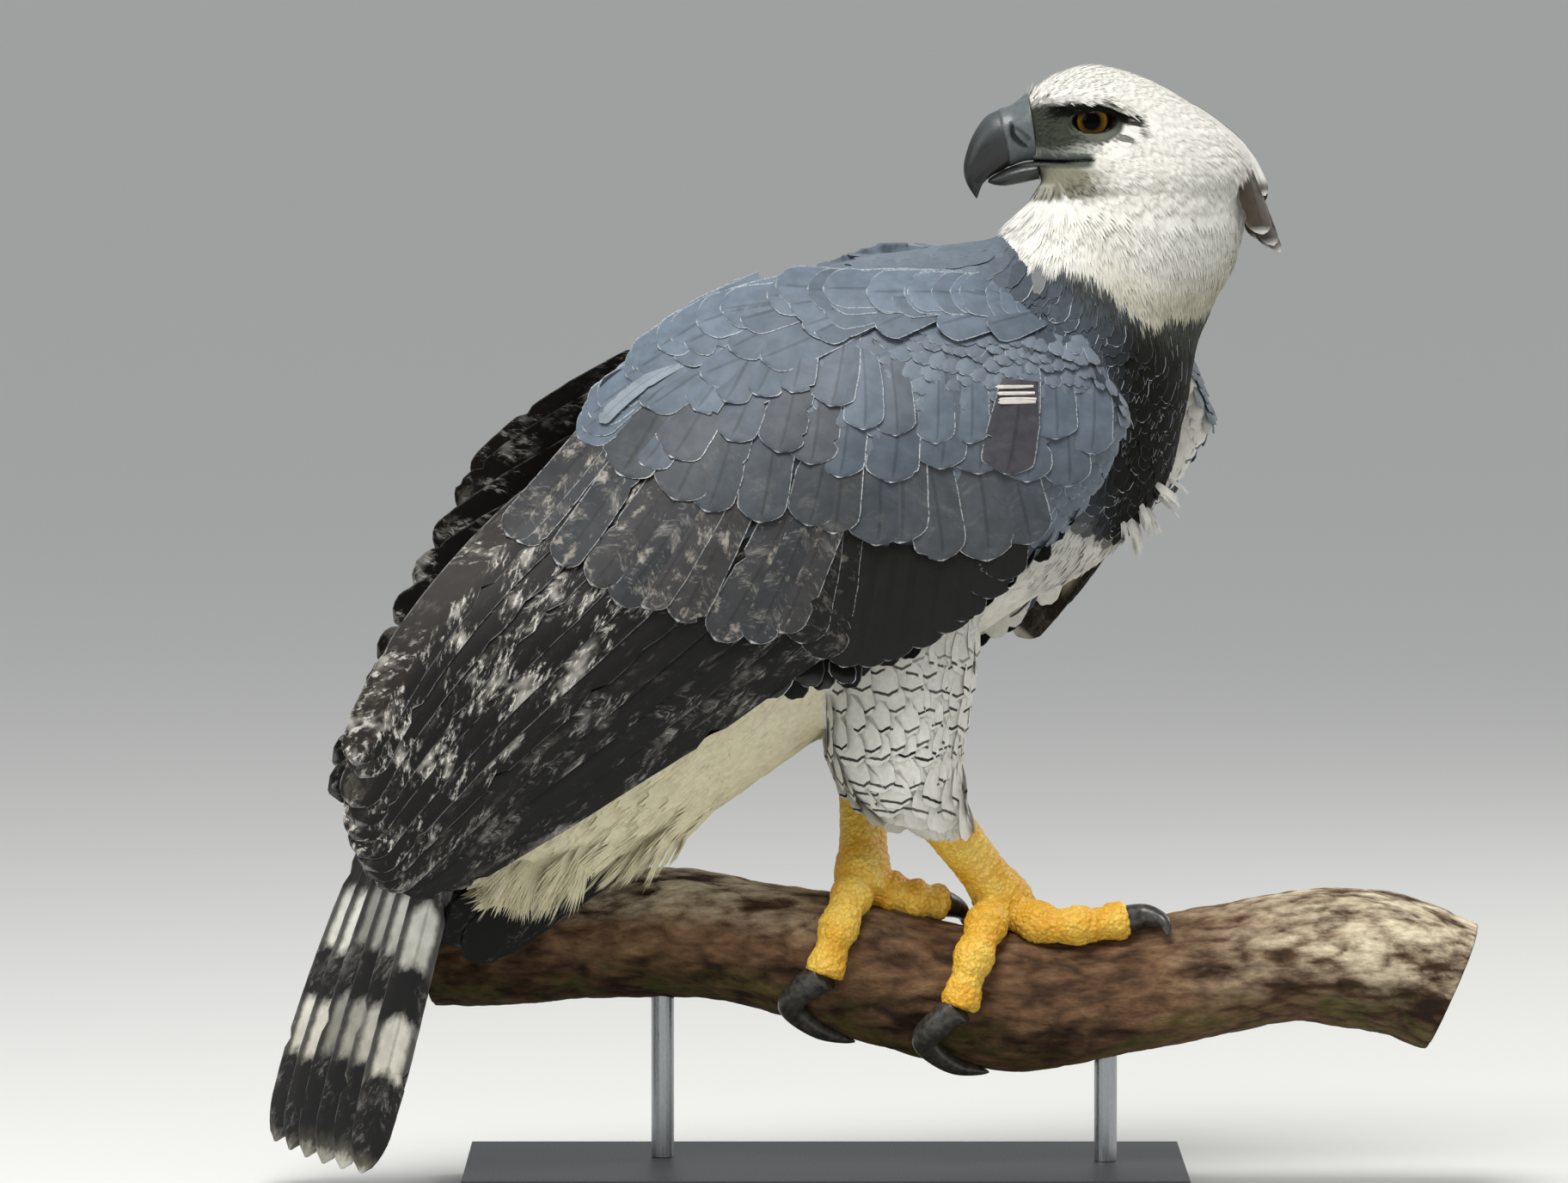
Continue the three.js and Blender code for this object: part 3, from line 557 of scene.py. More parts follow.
def wingPlace(wing, x, z):
    # the same frame backwards: table x and z to a and b
    c, s = math.cos(wing["slope"]), math.sin(wing["slope"])
    dx, dz = x - wing["wrist"][0], z - wing["wrist"][1]
    return -(dx * c + dz * s), dx * s - dz * c


def bodyRings(sections, shares, stations, sides, grow):
    rows = splinePoints([(*row, *more) for row, more in zip(sections, shares)], stations)
    c, s = np.cos(ringTurn(sides)), np.sin(ringTurn(sides))
    rings = []
    for x1, z1, x2, z2, half, share, square, headness in rows:
        reach = 1 + grow(headness) / (math.hypot(x2 - x1, z2 - z1) / 2)
        power = 1 + 0.1 * min(max(square, 0), 1)
        fill = ((c * c) ** power + (s * s) ** power) ** (-1 / (2 * power))
        x = (x1 + x2) / 2 + (x2 - x1) / 2 * reach * c * fill
        z = (z1 + z2) / 2 + (z2 - z1) / 2 * reach * c * fill
        rings.append(bodyPoint(x, z, (half + grow(headness)) * s * fill, min(max(share, 0), 1)))
    return np.array(rings)


# How deep the skin lies below the coat, and the opening between the lids.
skinSettings = {
    "bodyDepth": 4.0, "headDepth": 3.0, "thighDepth": 4.0, "wingDepth": 3.4,
    "bodyVoxel": 3.60, "headVoxel": 1.35,
    "lidWide": 13.2, "lidLow": 7.4, "lidTop": 4.6,
}
# Each eye is one ball; pupil and iris are angles from where it looks.
eyeSettings = {"centre": (164, 288), "radius": 13.0, "out": 25.0, "pupil": 25, "iris": 47}
# Ridges on each side of the face: points as x, z and out, then radii, sides and stations.
faceRidges = {
    "brow": ([(131, 299, 17), (144, 301.5, 26.5), (158, 302, 32.5), (174, 299, 35.5), (190, 291, 36)],
             [2.0, 4.4, 5.6, 5.2, 2.4], 16, 30),
    "fold": ([(147, 295.0, 32.5), (156, 297.6, 34.3), (165, 298.2, 34.8), (174, 297, 34.6), (183, 293.5, 33)],
             [1.8, 3.0, 3.4, 3.2, 1.6], 14, 30),
    "lipUpper": ([(127, 265.6, 15.5), (140, 265.2, 21), (154, 265.0, 27.5), (164, 264.6, 31)],
                 [1.3, 1.5, 1.4, 0.9], 10, 24),
    "lipLower": ([(127, 261.2, 15), (140, 261.4, 20.5), (154, 262.2, 27), (164, 263.2, 31)],
                 [1.3, 1.5, 1.3, 0.9], 10, 24),
}
flankLine = [(-250, 40), (-100, 10), (0, 30), (100, 70), (160, 80)]  # where the flank turns white
rumpWay = (-0.75, 0, 0.66)


def thighRings(rows, depth, stations=40, sides=48):
    rings = []
    turn = ringTurn(sides)
    for x, y, z, alongX, alongY in splinePoints(rows, stations):
        inset = depth * (1 - 0.4 * ease(z, rows[-1][2] + 30, rows[-1][2]))
        rings.append(np.stack([x + np.cos(turn) * (alongX - inset), y + np.sin(turn) * (alongY - inset),
                               np.full(sides, z)], -1))
    return np.array(rings)


def wingRings(wing, depth):
    surface = wingSurface(wing)
    stations = np.concatenate([[wing["back"][0][0] + 2], np.linspace(0, 330, 45)])
    spread = 0.5 - 0.5 * np.cos(np.linspace(0, np.pi, 22))
    rings = []
    for i, a in enumerate(stations):
        thick = np.interp(a, [60, 335], [34, 8]) * (0.5 if i == 0 else 1)
        start, end = tableValue(wing["back"], a, 10) + 3, tableValue(wing["belly"], a, 10) - 8
        b = start + (end - start) * spread
        edge = 0.5 * (1 - np.sqrt(np.clip(1 - (2 * spread - 1) ** 2, 0, 1)))
        upper = surface(a, b, -depth - (thick - depth) * edge)
        lower = surface(a, b[::-1], -thick + (thick - depth) * edge[::-1])
        rings.append(np.concatenate([upper, lower[1:-1]]))
    return np.array(rings)


def lidHeight(s, z):
    # how far the lids open, above or below the eye's middle
    return np.where(z > 0, s["lidTop"], s["lidLow"])


def mouthHeight(x):
    return np.interp(x, [120, 146, 162], [263.6, 263.2, 264.2])


def facePieces(s, side):
    ex, ez = eyeSettings["centre"]
    turn = np.linspace(0, 2 * np.pi, 36, endpoint=False)
    rim = headPoint(ex + np.cos(turn) * (s["lidWide"] + 1.6) + 0.5,
                    ez + np.sin(turn) * (np.where(turn < np.pi, s["lidTop"], s["lidLow"]) + 1.2),
                    side * (eyeSettings["out"] + 10.2 - 1.6 * np.cos(turn) ** 2))
    pieces = []
    for name, (rows, radii, sides, count) in faceRidges.items():
        x, z, out = np.array(rows).T
        squash = 0.7 if name == "brow" else 1.0
        pieces.append(tube(name, headPoint(x, z, out * side), radii, sides, count, squash=squash))
    lids = loftMesh("lids", tubeRings(np.concatenate([rim, rim[:3]]), 1.6, 10))
    return [pieces[0], lids, *pieces[1:]]


def carveFace(head, s):
    # the eyes' openings, the hollow lores and the groove of the mouth
    place = points(head)
    x, _, z = place.T
    axis = headPoint(x, z, 0)[:, 1]
    out = (place[:, 1] - axis) * math.cos(headYaw)
    side = np.sign(out)
    dx, dz = x - eyeSettings["centre"][0], z - eyeSettings["centre"][1]
    high = lidHeight(s, dz) * (1 - 0.12 * dx / s["lidWide"])
    opening = ((dx / s["lidWide"]) ** 2 + (dz / high) ** 2 < 1) & (np.abs(out) > 15)
    out = np.where(opening, side * np.minimum(np.abs(out), eyeSettings["out"] + 2), out)
    lores = np.exp(-((x - 144) / 9) ** 2 - ((z - 288) / 8) ** 2) * (np.abs(out) > 10)
    out = out - side * 2.6 * lores
    groove = np.exp(-((z - mouthHeight(x)) / 1.0) ** 2) * ease(x, 166, 160) * (np.abs(out) > 9)
    out = out - side * 3.2 * groove
    place[:, 1] = axis + out / math.cos(headYaw)
    setPoints(head, place)


def buildSkin(s):
    turning = [(2 / 3, 0, 0), (1, 0, 0.4)] + [(1, 1, 1)] * 7  # from the body's plane to the head's
    sections = torsoSections + neckSections + headSections
    shares = [(0, 0, 0)] * 10 + [(1 / 3, 0, 0)] + turning
    forms = {
        "body": bodyRings(sections, shares, 190, 72, lambda h: -s["bodyDepth"] - 1.5 * h),
        "thighRight": thighRings(thighRight, s["thighDepth"]),
        "thighLeft": thighRings(thighLeft, s["thighDepth"]),
        "wingRight": wingRings(rightWing, s["wingDepth"]),
        "wingLeft": wingRings(leftWing, s["wingDepth"]),
    }
    lofts = [loftMesh(name, rings) for name, rings in forms.items()]
    body = remeshed(joinObjects("bodySkin", lofts), s["bodyVoxel"], 6)
    neckUp = neckSections[1:] + headSections
    skull = bodyRings(neckUp, turning, 90, 96, lambda h: -s["headDepth"] - 5 * (1 - h))
    pieces = [loftMesh("skull", skull), *facePieces(s, -1), *facePieces(s, 1)]
    head = remeshed(joinObjects("headSkin", pieces), s["headVoxel"], 2)
    carveFace(head, s)
    return smoothed(joinObjects("skin", [body, head])), list(forms.values())


skin, charts = buildSkin(skinSettings)
print("skin:", len(skin.data.vertices), "points")

# A lookup from any point to the form below it: which part, how far along it, how far round it.
chartTree = lookup(np.concatenate([rings.reshape(-1, 3) for rings in charts]))
chartInfo = np.array([
    (part, i / (rings.shape[0] - 1), k / rings.shape[1])
    for part, rings in enumerate(charts) for i in range(rings.shape[0]) for k in range(rings.shape[1])
])


def chartOf(place):
    return chartInfo[[chartTree.find(p)[1] for p in place]]


# Where the white of the head ends on the neck, and the black of the breast on the belly.
whiteEdge = [(85, 226), (109, 212), (127, 193), (146, 198), (158, 196), (167, 187), (181, 173), (200, 162),
             (211, 170), (226, 167), (245, 176), (264, 192)]
blackEdge = [(120, 84), (150, 62), (175, 47), (195, 44), (215, 52), (240, 60)]
plumage = {
    "slate": rgb("69727c"), "slateDark": rgb("454b52"), "charcoal": rgb("1b1a18"), "white": rgb("dbd9d1"),
    "cream": rgb("e9dfb0"), "black": rgb("171713"), "neckGrey": rgb("454740"), "lores": rgb("383b33"),
    "chin": rgb("7c7968"), "lidPale": rgb("6a6e65"), "lip": rgb("4b4f4a"), "shadow": rgb("a9a48c"),
}


def coatColour(place, normal, chart):
    # colour of skin and coat at any point
    k = plumage
    x, _, z = place.T
    part, station, _ = chart.T
    colour = np.tile(k["slate"], (len(place), 1))

    def lay(share, tint):
        colour[:] = blend(colour, tint, np.clip(share, 0, 1))

    def oval(cx, cz, wide, high):
        # 0 in the middle of an oval on the face, 1 on its edge
        return np.hypot((x - cx) / wide, (z - cz) / high)

    body = part == 0
    flank = tableValue(flankLine, x)
    rump = ease(normal @ np.array(rumpWay), 0.1, 0.4) * ease(x, 0, -60)
    belly = body * ease(z, flank + 20, flank - 20) * (1 - rump)
    lay(belly, k["white"])
    lay(body * rump * ease(x, -60, -160), k["slateDark"])
    lay(belly * ease(x, 150, -60) * 0.65, k["cream"])
    breast = body * ease(x, 95, 130) * ease(station, 0.26, 0.34)
    lay(breast, k["slateDark"])
    lay(breast * ease(x, 150, 190) * ease(z, 190, 170), k["black"])
    edge = tableValue(blackEdge, x, 6)
    lay(breast * ease(z, edge + 5, edge - 5), k["white"])
    neckArea = body * ease(station, 0.44, 0.5)
    lay(neckArea * ease(z, 214, 200) * ease(x, 120, 150), k["neckGrey"])
    edge = tableValue(whiteEdge, x, 4) + 11
    lay(body * ease(station, 0.40, 0.47) * ease(z, edge - 3, edge + 3), k["white"])
    lay(neckArea * ease(z, edge + 40, edge + 4) * (z > edge) * ease(x, 140, 195) * 0.8, k["shadow"])
    lay((part == 1) | (part == 2), k["white"])
    for index, wing in ((3, rightWing), (4, leftWing)):
        a, b = wingPlace(wing, x, z)
        mine = part == index
        lay(mine * ease(a, 60, 300) * 0.8, k["slateDark"])
        lay(mine * ease(a, 240, 330), k["charcoal"])
        lining = mine * ease(-normal[:, 1] * wing["side"], 0.35, 0.7) * ease(b, -90, -60)
        if index == 3:
            lay(lining * ease(b, 0, 10), k["black"])
            lining = lining * ease(b, 10, 0)
            lay(mine * ease(b, 26, 38) * ease(a, 50, 100), k["black"])
        lay(lining, k["white"])
    # bare face: lores, lids and lips
    head = body * (z > 240) * (x < 200)
    level = z - 0.1 * (x - 143)
    lay(head * ease(oval(134, 280, 40, 20), 1.1, 0.6) * ease(level, 306, 300) * 0.85, k["lidPale"])
    lay(head * ease(z, 243, 251) * (z < 266) * ease(x, 174, 150), k["chin"])
    lay(head * ease(oval(218, 254, 30, 13), 1.1, 0.3) * 0.5, k["shadow"])
    lay(head * ease(oval(136, 284, 26, 15), 1.15, 0.7) * ease(level, 304, 298), k["lores"])
    ring = oval(164, 287, 18, 12.5)
    lay(head * ease(ring, 1.12, 0.92) * ease(z, 303, 297), k["lores"])
    lay(head * ease(ring, 1.0, 0.85) * ease(z, 286, 280), k["lidPale"] * 0.75)
    lay(head * ease(np.abs(z - 264), 5.5, 3.5) * ease(x, 166, 160) * (x < 167), k["lip"])
    lay(head * ease(np.abs(z - mouthHeight(x)), 1.3, 0.7) * (x < 164), k["black"] * 0.4)
    ex, ez = eyeSettings["centre"]
    opening = oval(ex, ez, skinSettings["lidWide"], lidHeight(skinSettings, z - ez))
    lay(head * ease(opening, 1.12, 1.0), k["black"] * 0.5)
    # a black band along the brow and the skin fold over the eye: dark skin, with a painted shadow of the
    # overhanging brow
    brow = ease(np.abs(z - np.interp(x, [132, 150, 165, 178, 188], [292, 295, 295.5, 292, 287])), 4.6, 3.0)
    lay(head * brow * ease(x, 130, 140) * ease(x, 192, 184), k["black"])
    return colour


skinPlace = points(skin)
skinChart = chartOf(skinPlace)
paint(skin, coatColour(skinPlace, normals(skin), skinChart), 0.0)
skin.data.materials.append(skinTone)
skinNormal = normals(skin)
finish(skin, "white_feathers", "head", "neck", "torso", "thigh_right", "thigh_left")
print("skin coloured")

# Small feathers, laid by a node tree on seeded points.


bladeKinds = {"wisp": (5, 0.15), "fluff": (13, 0.06)}  # blades of each, and how broad one is


def vaneFaces(rows, cols):
    # faces of a closed vane: upper grid, and a lower one that shares its edge
    upper = np.arange(rows * cols).reshape(rows, cols)
    lower = upper.copy()
    lower[1:-1, 1:-1] = rows * cols + np.arange((rows - 2) * (cols - 2)).reshape(rows - 2, cols - 2)
    top = np.stack([upper[:-1, :-1], upper[:-1, 1:], upper[1:, 1:], upper[1:, :-1]], -1).reshape(-1, 4)
    under = np.stack([lower[:-1, :-1], lower[1:, :-1], lower[1:, 1:], lower[:-1, 1:]], -1).reshape(-1, 4)
    return np.concatenate([top, under])


def bladedFeather(rng, blades, broad):
    # narrow blades that fan out from one root
    verts, faces, maps = [], [], []
    edges = [(-broad, -0.06), (0, 0.06), (broad, -0.06)]
    for i in range(blades):
        lean = (i / (blades - 1) - 0.5) * 2 + rng.uniform(-0.12, 0.12)
        length = 1 - 0.20 * abs(lean) - rng.uniform(0, 0.2)
        first = len(verts)
        for v in (0, 0.55):
            y = lean * (0.14 + 0.36 * v)
            z = v * 1.1 - 0.45 * v ** 2 - 0.25 * lean ** 2
            verts += [(v * length, y + aside, z + rise) for aside, rise in edges]
            maps += [(0.5 + y + aside, v) for aside, _ in edges]
        verts.append((length, lean * 0.5, 0.62 - 0.25 * lean ** 2 + rng.uniform(-0.08, 0.12)))
        maps.append((0.5 + lean * 0.46, 1.0))
        for k in range(3):
            p, q = first + k, first + (k + 1) % 3
            faces += [(p, q, q + 3, p + 3), (p + 3, q + 3, first + 6)]
        faces.append((first + 2, first + 1, first))
    return verts, faces, maps


def wholeFeather(rng, soft):
    # one closed vane; a soft one has a ragged end
    if soft:
        rows, across = [(0, 0.55), (0.38, 0.95), (0.74, 0.96), (1.0, 0.8)], np.linspace(-1, 1, 7)
    else:
        rows, across = [(0, 0.62), (0.4, 0.95), (0.72, 0.98), (0.9, 0.74), (1.0, 0.34)], [-1, -0.5, 0, 0.5, 1]
    m, n = len(rows), len(across)
    verts, maps = [], []
    for i, (v, w) in enumerate(rows):
        for k, u in enumerate(across):
            x = v
            if i == m - 1:
                x = v - 0.14 * (k % 2) - 0.16 * u * u - rng.uniform(0, 0.08) if soft else v - 0.05 * u * u
            y = 0.5 * u * w * (1 + rng.uniform(-0.04, 0.04))
            verts.append((x, y, 1.2 * x - 0.55 * x ** 3 - 0.32 * u * u))
            maps.append(((u + 1) / 2, v))
    for i in range(1, m - 1):
        for k in range(1, n - 1):
            x, y, z = verts[i * n + k]
            verts.append((x, y, z - 0.14))
            maps.append(maps[i * n + k])
    return verts, vaneFaces(m, n).tolist(), maps


def vaneTemplate(name, kind, seed):
    # one feather, one long and one wide, its root at the origin; closed, thin, arched across
    rng = np.random.default_rng(seed)
    if kind in bladeKinds:
        verts, faces, maps = bladedFeather(rng, *bladeKinds[kind])
    else:
        verts, faces, maps = wholeFeather(rng, kind == "soft")
    mesh = bpy.data.meshes.new(name)
    mesh.from_pydata(verts, [], faces)
    mesh.update()
    layer = mesh.uv_layers.new(name="vane")
    loops = np.array([loop.vertex_index for loop in mesh.loops])
    layer.data.foreach_set("uv", np.array(maps, np.float32)[loops].ravel())
    return faceOut(smoothed(bpy.data.objects.new(name, mesh)), 0.7)


templates = bpy.data.collections.new("featherTemplates")
templateKinds = ["scale", "scale", "soft", "soft", "soft", "wisp", "wisp", "wisp", "fluff", "fluff"]
for index, kindName in enumerate(templateKinds):
    templates.objects.link(vaneTemplate("feather%d" % index, kindName, 40 + index))
scene.collection.children.link(templates)


coatInputs = {"Length": 1.0, "Width": 1.0, "Twist": 0.22, "Bake patch": 0.003, "Seed": 0}


def coatTree(material):
    # lays a template on each point by its lie and facing, then makes it plain mesh
    tree = bpy.data.node_groups.new("layFeathers", "GeometryNodeTree")
    face = tree.interface
    face.new_socket("Geometry", in_out="INPUT", socket_type="NodeSocketGeometry")
    ids = {}
    for label, value in coatInputs.items():
        kind = "NodeSocketInt" if label == "Seed" else "NodeSocketFloat"
        made = face.new_socket(label, in_out="INPUT", socket_type=kind)
        made.default_value = value
        ids[label] = made.identifier
    face.new_socket("Geometry", in_out="OUTPUT", socket_type="NodeSocketGeometry")
    w = Wiring(tree)
    start = w.node("NodeGroupInput")
    given = {label: Value(w, start.outputs[label]) for label in ("Geometry", *coatInputs)}

    def stored(name, kind="FLOAT_VECTOR"):
        return w.get("GeometryNodeInputNamedAttribute", {"Name": name}, "Attribute", data_type=kind)

    align = "FunctionNodeAlignRotationToVector"
    along = w.get(align, {"Vector": stored("lie")}, axis="X")
    facing = w.get(align, {"Rotation": along, "Vector": stored("facing")}, axis="Z", pivot_axis="X")
    limits = {2: given["Twist"] * -1, 3: given["Twist"], "Seed": given["Seed"]}
    random = w.get("FunctionNodeRandomValue", limits, 1, data_type="FLOAT")
    twist = w.get("FunctionNodeAxisAngleToRotation", {"Axis": (0, 0, 1), "Angle": random})
    turns = {"Rotation": facing, "Rotate By": twist}
    turned = w.get("FunctionNodeRotateRotation", turns, rotation_space="LOCAL")
    size = w.vector("MULTIPLY", stored("size"), w.joined(given["Length"], given["Width"], 1.0))
    source = w.get("GeometryNodeCollectionInfo", {"Collection": templates, "Separate Children": True,
                                                  "Reset Children": True})
    laid = w.get("GeometryNodeInstanceOnPoints", {
        "Points": given["Geometry"], "Instance": source, "Pick Instance": True,
        "Instance Index": stored("kind", "INT"), "Rotation": turned, "Scale": size})
    real = w.get("GeometryNodeRealizeInstances", {0: laid})
    centre = w.vector("SUBTRACT", stored("vane"), (0.5, 0.5, 0))
    patch = w.get("ShaderNodeVectorMath", {0: centre, "Scale": given["Bake patch"]}, operation="SCALE")
    mapped = w.get("GeometryNodeStoreNamedAttribute", {
        "Geometry": real, "Name": "OFBake", "Value": w.vector("ADD", patch, stored("rootMap"))},
        data_type="FLOAT2", domain="CORNER")
    finished = w.get("GeometryNodeSetMaterial", {"Geometry": mapped, "Material": material})
    w.put(w.node("NodeGroupOutput"), {0: finished})
    return tree, ids


def skinSamples(count, seed):
    # seeded points spread evenly by area over the skin
    mesh = skin.data
    mesh.calc_loop_triangles()
    tris = np.empty(len(mesh.loop_triangles) * 3, int)
    mesh.loop_triangles.foreach_get("vertices", tris)
    tris = tris.reshape(-1, 3)
    p = skinPlace[tris]
    area = np.linalg.norm(np.cross(p[:, 1] - p[:, 0], p[:, 2] - p[:, 0]), axis=1)
    rng = np.random.default_rng(seed)
    pick = rng.choice(len(tris), count, p=area / area.sum())
    u, v = rng.random(count), rng.random(count)
    flip = u + v > 1
    u, v = np.where(flip, 1 - u, u), np.where(flip, 1 - v, v)
    weights = np.stack([1 - u - v, u, v], -1)[:, :, None]
    place = (p[pick] * weights).sum(1)
    normal = unit((skinNormal[tris[pick]] * weights).sum(1))
    return place, normal


def thinned(place, spacing, seed):
    # keeps points that stand at least their own spacing apart
    tree = lookup(place)
    free = np.ones(len(place), bool)
    keep = []
    for i in np.random.default_rng(seed).permutation(len(place)):
        if free[i]:
            keep.append(i)
            for _, j, _ in tree.find_range(place[i], spacing[i]):
                free[j] = False
    return np.array(keep)


# Which way the coat lies, as table x, z and the direction there.
lieTable = [
    (126, 300, 1, 0.35), (140, 318, 1, 0.2), (165, 324, 1, -0.05), (195, 317, 0.95, -0.35),
    (222, 302, 0.8, -0.6), (248, 280, 0.45, -0.9), (262, 250, 0.1, -1), (150, 280, 1, -0.15),
    (175, 270, 0.95, -0.4), (205, 280, 0.8, -0.55), (215, 255, 0.5, -0.87), (235, 235, 0.25, -0.97),
    (150, 256, 0.9, -0.45), (165, 245, 0.6, -0.8), (138, 240, 0.2, -0.98), (118, 225, -0.35, -0.94),
    (190, 225, 0.25, -0.97), (160, 210, -0.05, -1), (200, 185, 0.05, -1), (240, 200, 0.15, -1),
    (140, 190, -0.2, -0.98), (100, 205, -0.7, -0.7), (66, 205, -0.9, -0.42), (0, 195, -0.93, -0.36),
    (-80, 140, -0.85, -0.52), (-150, 40, -0.6, -0.8), (-200, -60, -0.4, -0.9), (225, 130, 0.05, -1),
    (215, 75, -0.15, -1), (185, 30, -0.5, -0.86), (150, 120, -0.3, -0.95), (130, -5, -0.8, -0.6),
    (60, -50, -0.86, -0.5), (-20, -100, -0.86, -0.5), (-85, -145, -0.8, -0.6),
    (-140, -165, -0.72, -0.7), (0, 60, -0.85, -0.52), (-100, -60, -0.75, -0.66),
]


def lieAt(place, chart, normal):
    rows = np.array(lieTable, float)
    gap = np.hypot(place[:, None, 0] - rows[None, :, 0], place[:, None, 2] - rows[None, :, 1])
    weight = 1 / (gap ** 2 + 60) ** 1.6
    flow = (weight[:, :, None] * rows[None, :, 2:]).sum(1) / weight.sum(1)[:, None]
    lie = np.stack([flow[:, 0], np.zeros(len(flow)), flow[:, 1]], -1)
    thigh = (chart[:, 0] == 1) | (chart[:, 0] == 2)
    lie[thigh] = (-0.08, 0, -1)
    for index, wing in ((3, rightWing), (4, leftWing)):
        mine = chart[:, 0] == index
        a, b = wingPlace(wing, place[mine, 0], place[mine, 2])
        angle = np.interp(b, [-150, -40, 30], [0.05, 0.5, 0.75]) + np.interp(a, [0, 120], [0.35, 0.0])
        c, s = math.cos(wing["slope"]), math.sin(wing["slope"])
        lie[mine] = np.stack([-c * np.cos(angle) + s * np.sin(angle), np.zeros(mine.sum()),
                              -s * np.cos(angle) - c * np.sin(angle)], -1)
    lie = unit(lie)
    return unit(lie - normal * (lie * normal).sum(1)[:, None])


def chartMap(chart):
    # an unwrap of each part's own shape: along it and round it, in a cell of its own
    cells = {0: (0.02, 0.02, 0.56, 0.96), 1: (0.60, 0.02, 0.18, 0.30), 2: (0.80, 0.02, 0.18, 0.30),
             3: (0.60, 0.35, 0.38, 0.30), 4: (0.60, 0.68, 0.38, 0.30)}
    out = np.zeros((len(chart), 3))
    for index, (x, y, w, h) in cells.items():
        mine = chart[:, 0] == index
        out[mine, 0] = x + w * chart[mine, 2]
        out[mine, 1] = y + h * chart[mine, 1]
    return out


def coatSizes(place, normal, chart, rng):
    # length, width, rise, spacing and template of each small feather
    x, _, z = place.T
    part, station, _ = chart.T
    n = len(place)
    length, width, rise, spacing = (np.full(n, size) for size in (27.0, 17.0, 2.2, 8.0))
    kind = rng.integers(0, 2, n)

    def lay(mask, sizes, kinds):
        length[mask], width[mask], rise[mask], spacing[mask] = sizes
        kind[mask] = rng.choice(kinds, mask.sum())

    body = part == 0
    belly = body & (z < tableValue(flankLine, x))
    belly &= (x > -30) | (normal @ np.array(rumpWay) < 0.25)
    lay(belly, (32, 11, 1.0, 4.4), [3, 4, 5, 6, 7])
    lay(belly & (x < -60) & (z < -60), (44, 14, 1.7, 5.0), [4, 6, 8, 9])
    breast = body & (x > 100) & (z > tableValue(blackEdge, x)) & (z < 200) & (station > 0.26)
    lay(breast, (24, 15, 1.7, 5.6), [0, 1, 2, 3])
    lay(body & (station > 0.45) & (z > 150), (24, 10, 1.8, 3.7), [5, 6, 8, 9])  # neck
    head = body & (z > 238) & (station > 0.6)
    wisps = [5, 6, 7]
    lay(head, (16, 4.6, 0.8, 2.2), wisps)
    lay(head & (z > 286), (13, 4.4, 0.35, 2.3), wisps)  # crown
    face = head & (x < 176) & (np.hypot((x - 148) / 29, (z - 282) / 19) < 1)
    lay(face, (6.5, 1.6, 0.7, 2.0), wisps)
    lay((part == 1) | (part == 2), (10, 4, 1.0, 2.4), wisps)
    for index, wing in ((3, rightWing), (4, leftWing)):
        mine = part == index
        small = ease(wingPlace(wing, x, z)[0], 10, 130)[mine]
        lay(mine, (14 + 10 * small, 11 + 7 * small, 3.3, 5.4 + 3.0 * small), [0, 1])
    length *= rng.uniform(0.88, 1.12, n)
    width *= rng.uniform(0.9, 1.1, n)
    return length, width, rise, spacing, kind


def batch(place, normal, chart, lie, size, kind, colour, band=0.0, rim=0.0):
    # some small feathers: where each stands, how it lies, and its looks
    n = len(place)
    return {"place": place, "normal": normal, "chart": chart, "lie": lie, "size": size, "kind": kind,
            "colour": np.broadcast_to(colour, (n, 3)), "band": np.broadcast_to(band, n),
            "rim": np.broadcast_to(rim, n)}


def thighFeathers(rings, index, rng, width=16.5, drop=11.5):
    # rows of barred feathers on the thigh's own rings, each between two of the row above
    place, normal, chart, band = [], [], [], []
    stations, sides = rings.shape[:2]
    run = runOf(rings.mean(1))
    for row, low in enumerate(np.arange(4.0, run[-1] - 27, drop)):
        i = min(max(int(np.searchsorted(run, low)), 1), stations - 2)
        loop = np.concatenate([rings[i], rings[i][:1]])
        along = runOf(loop)
        count = max(6, int(round(along[-1] / width)))
        for k in range(count):
            at = ((k + 0.5 * (row % 2)) / count + rng.normal(0, 0.05) / count) % 1 * along[-1]
            point = np.array([np.interp(at, along, loop[:, c]) for c in range(3)])
            j = int(at / along[-1] * sides) % sides
            across, down = rings[i][(j + 1) % sides] - rings[i][j - 1], rings[i + 1][j] - rings[i - 1][j]
            out = unit(np.cross(across, down))
            if np.dot(out, point - rings[i].mean(0)) < 0:
                out = -out
            place.append(point + (0, 0, rng.normal(0, 1.2)))
            normal.append(out)
            chart.append((index, i / (stations - 1), j / sides))
            band.append(ease(low, 20, 50) * ease(run[-1] - low, 34, 48) * rng.uniform(0.85, 1.0))
    normal = np.array(normal)
    n = len(normal)
    way = np.tile((0.22, 0, -1.0), (n, 1))
    way[:, 0] *= ease(-normal[:, 0], -0.9, 0.8)
    way = unit(way - normal * (way * normal).sum(1)[:, None])
    size = np.stack([rng.uniform(24, 26, n), rng.uniform(20, 22, n), np.full(n, 0.4)], -1)
    kind = rng.integers(0, 2, n)
    return batch(np.array(place), normal, np.array(chart), way, size, kind, plumage["white"], np.array(band))


coatSettings = {"samples": 210000, "seed": 7}
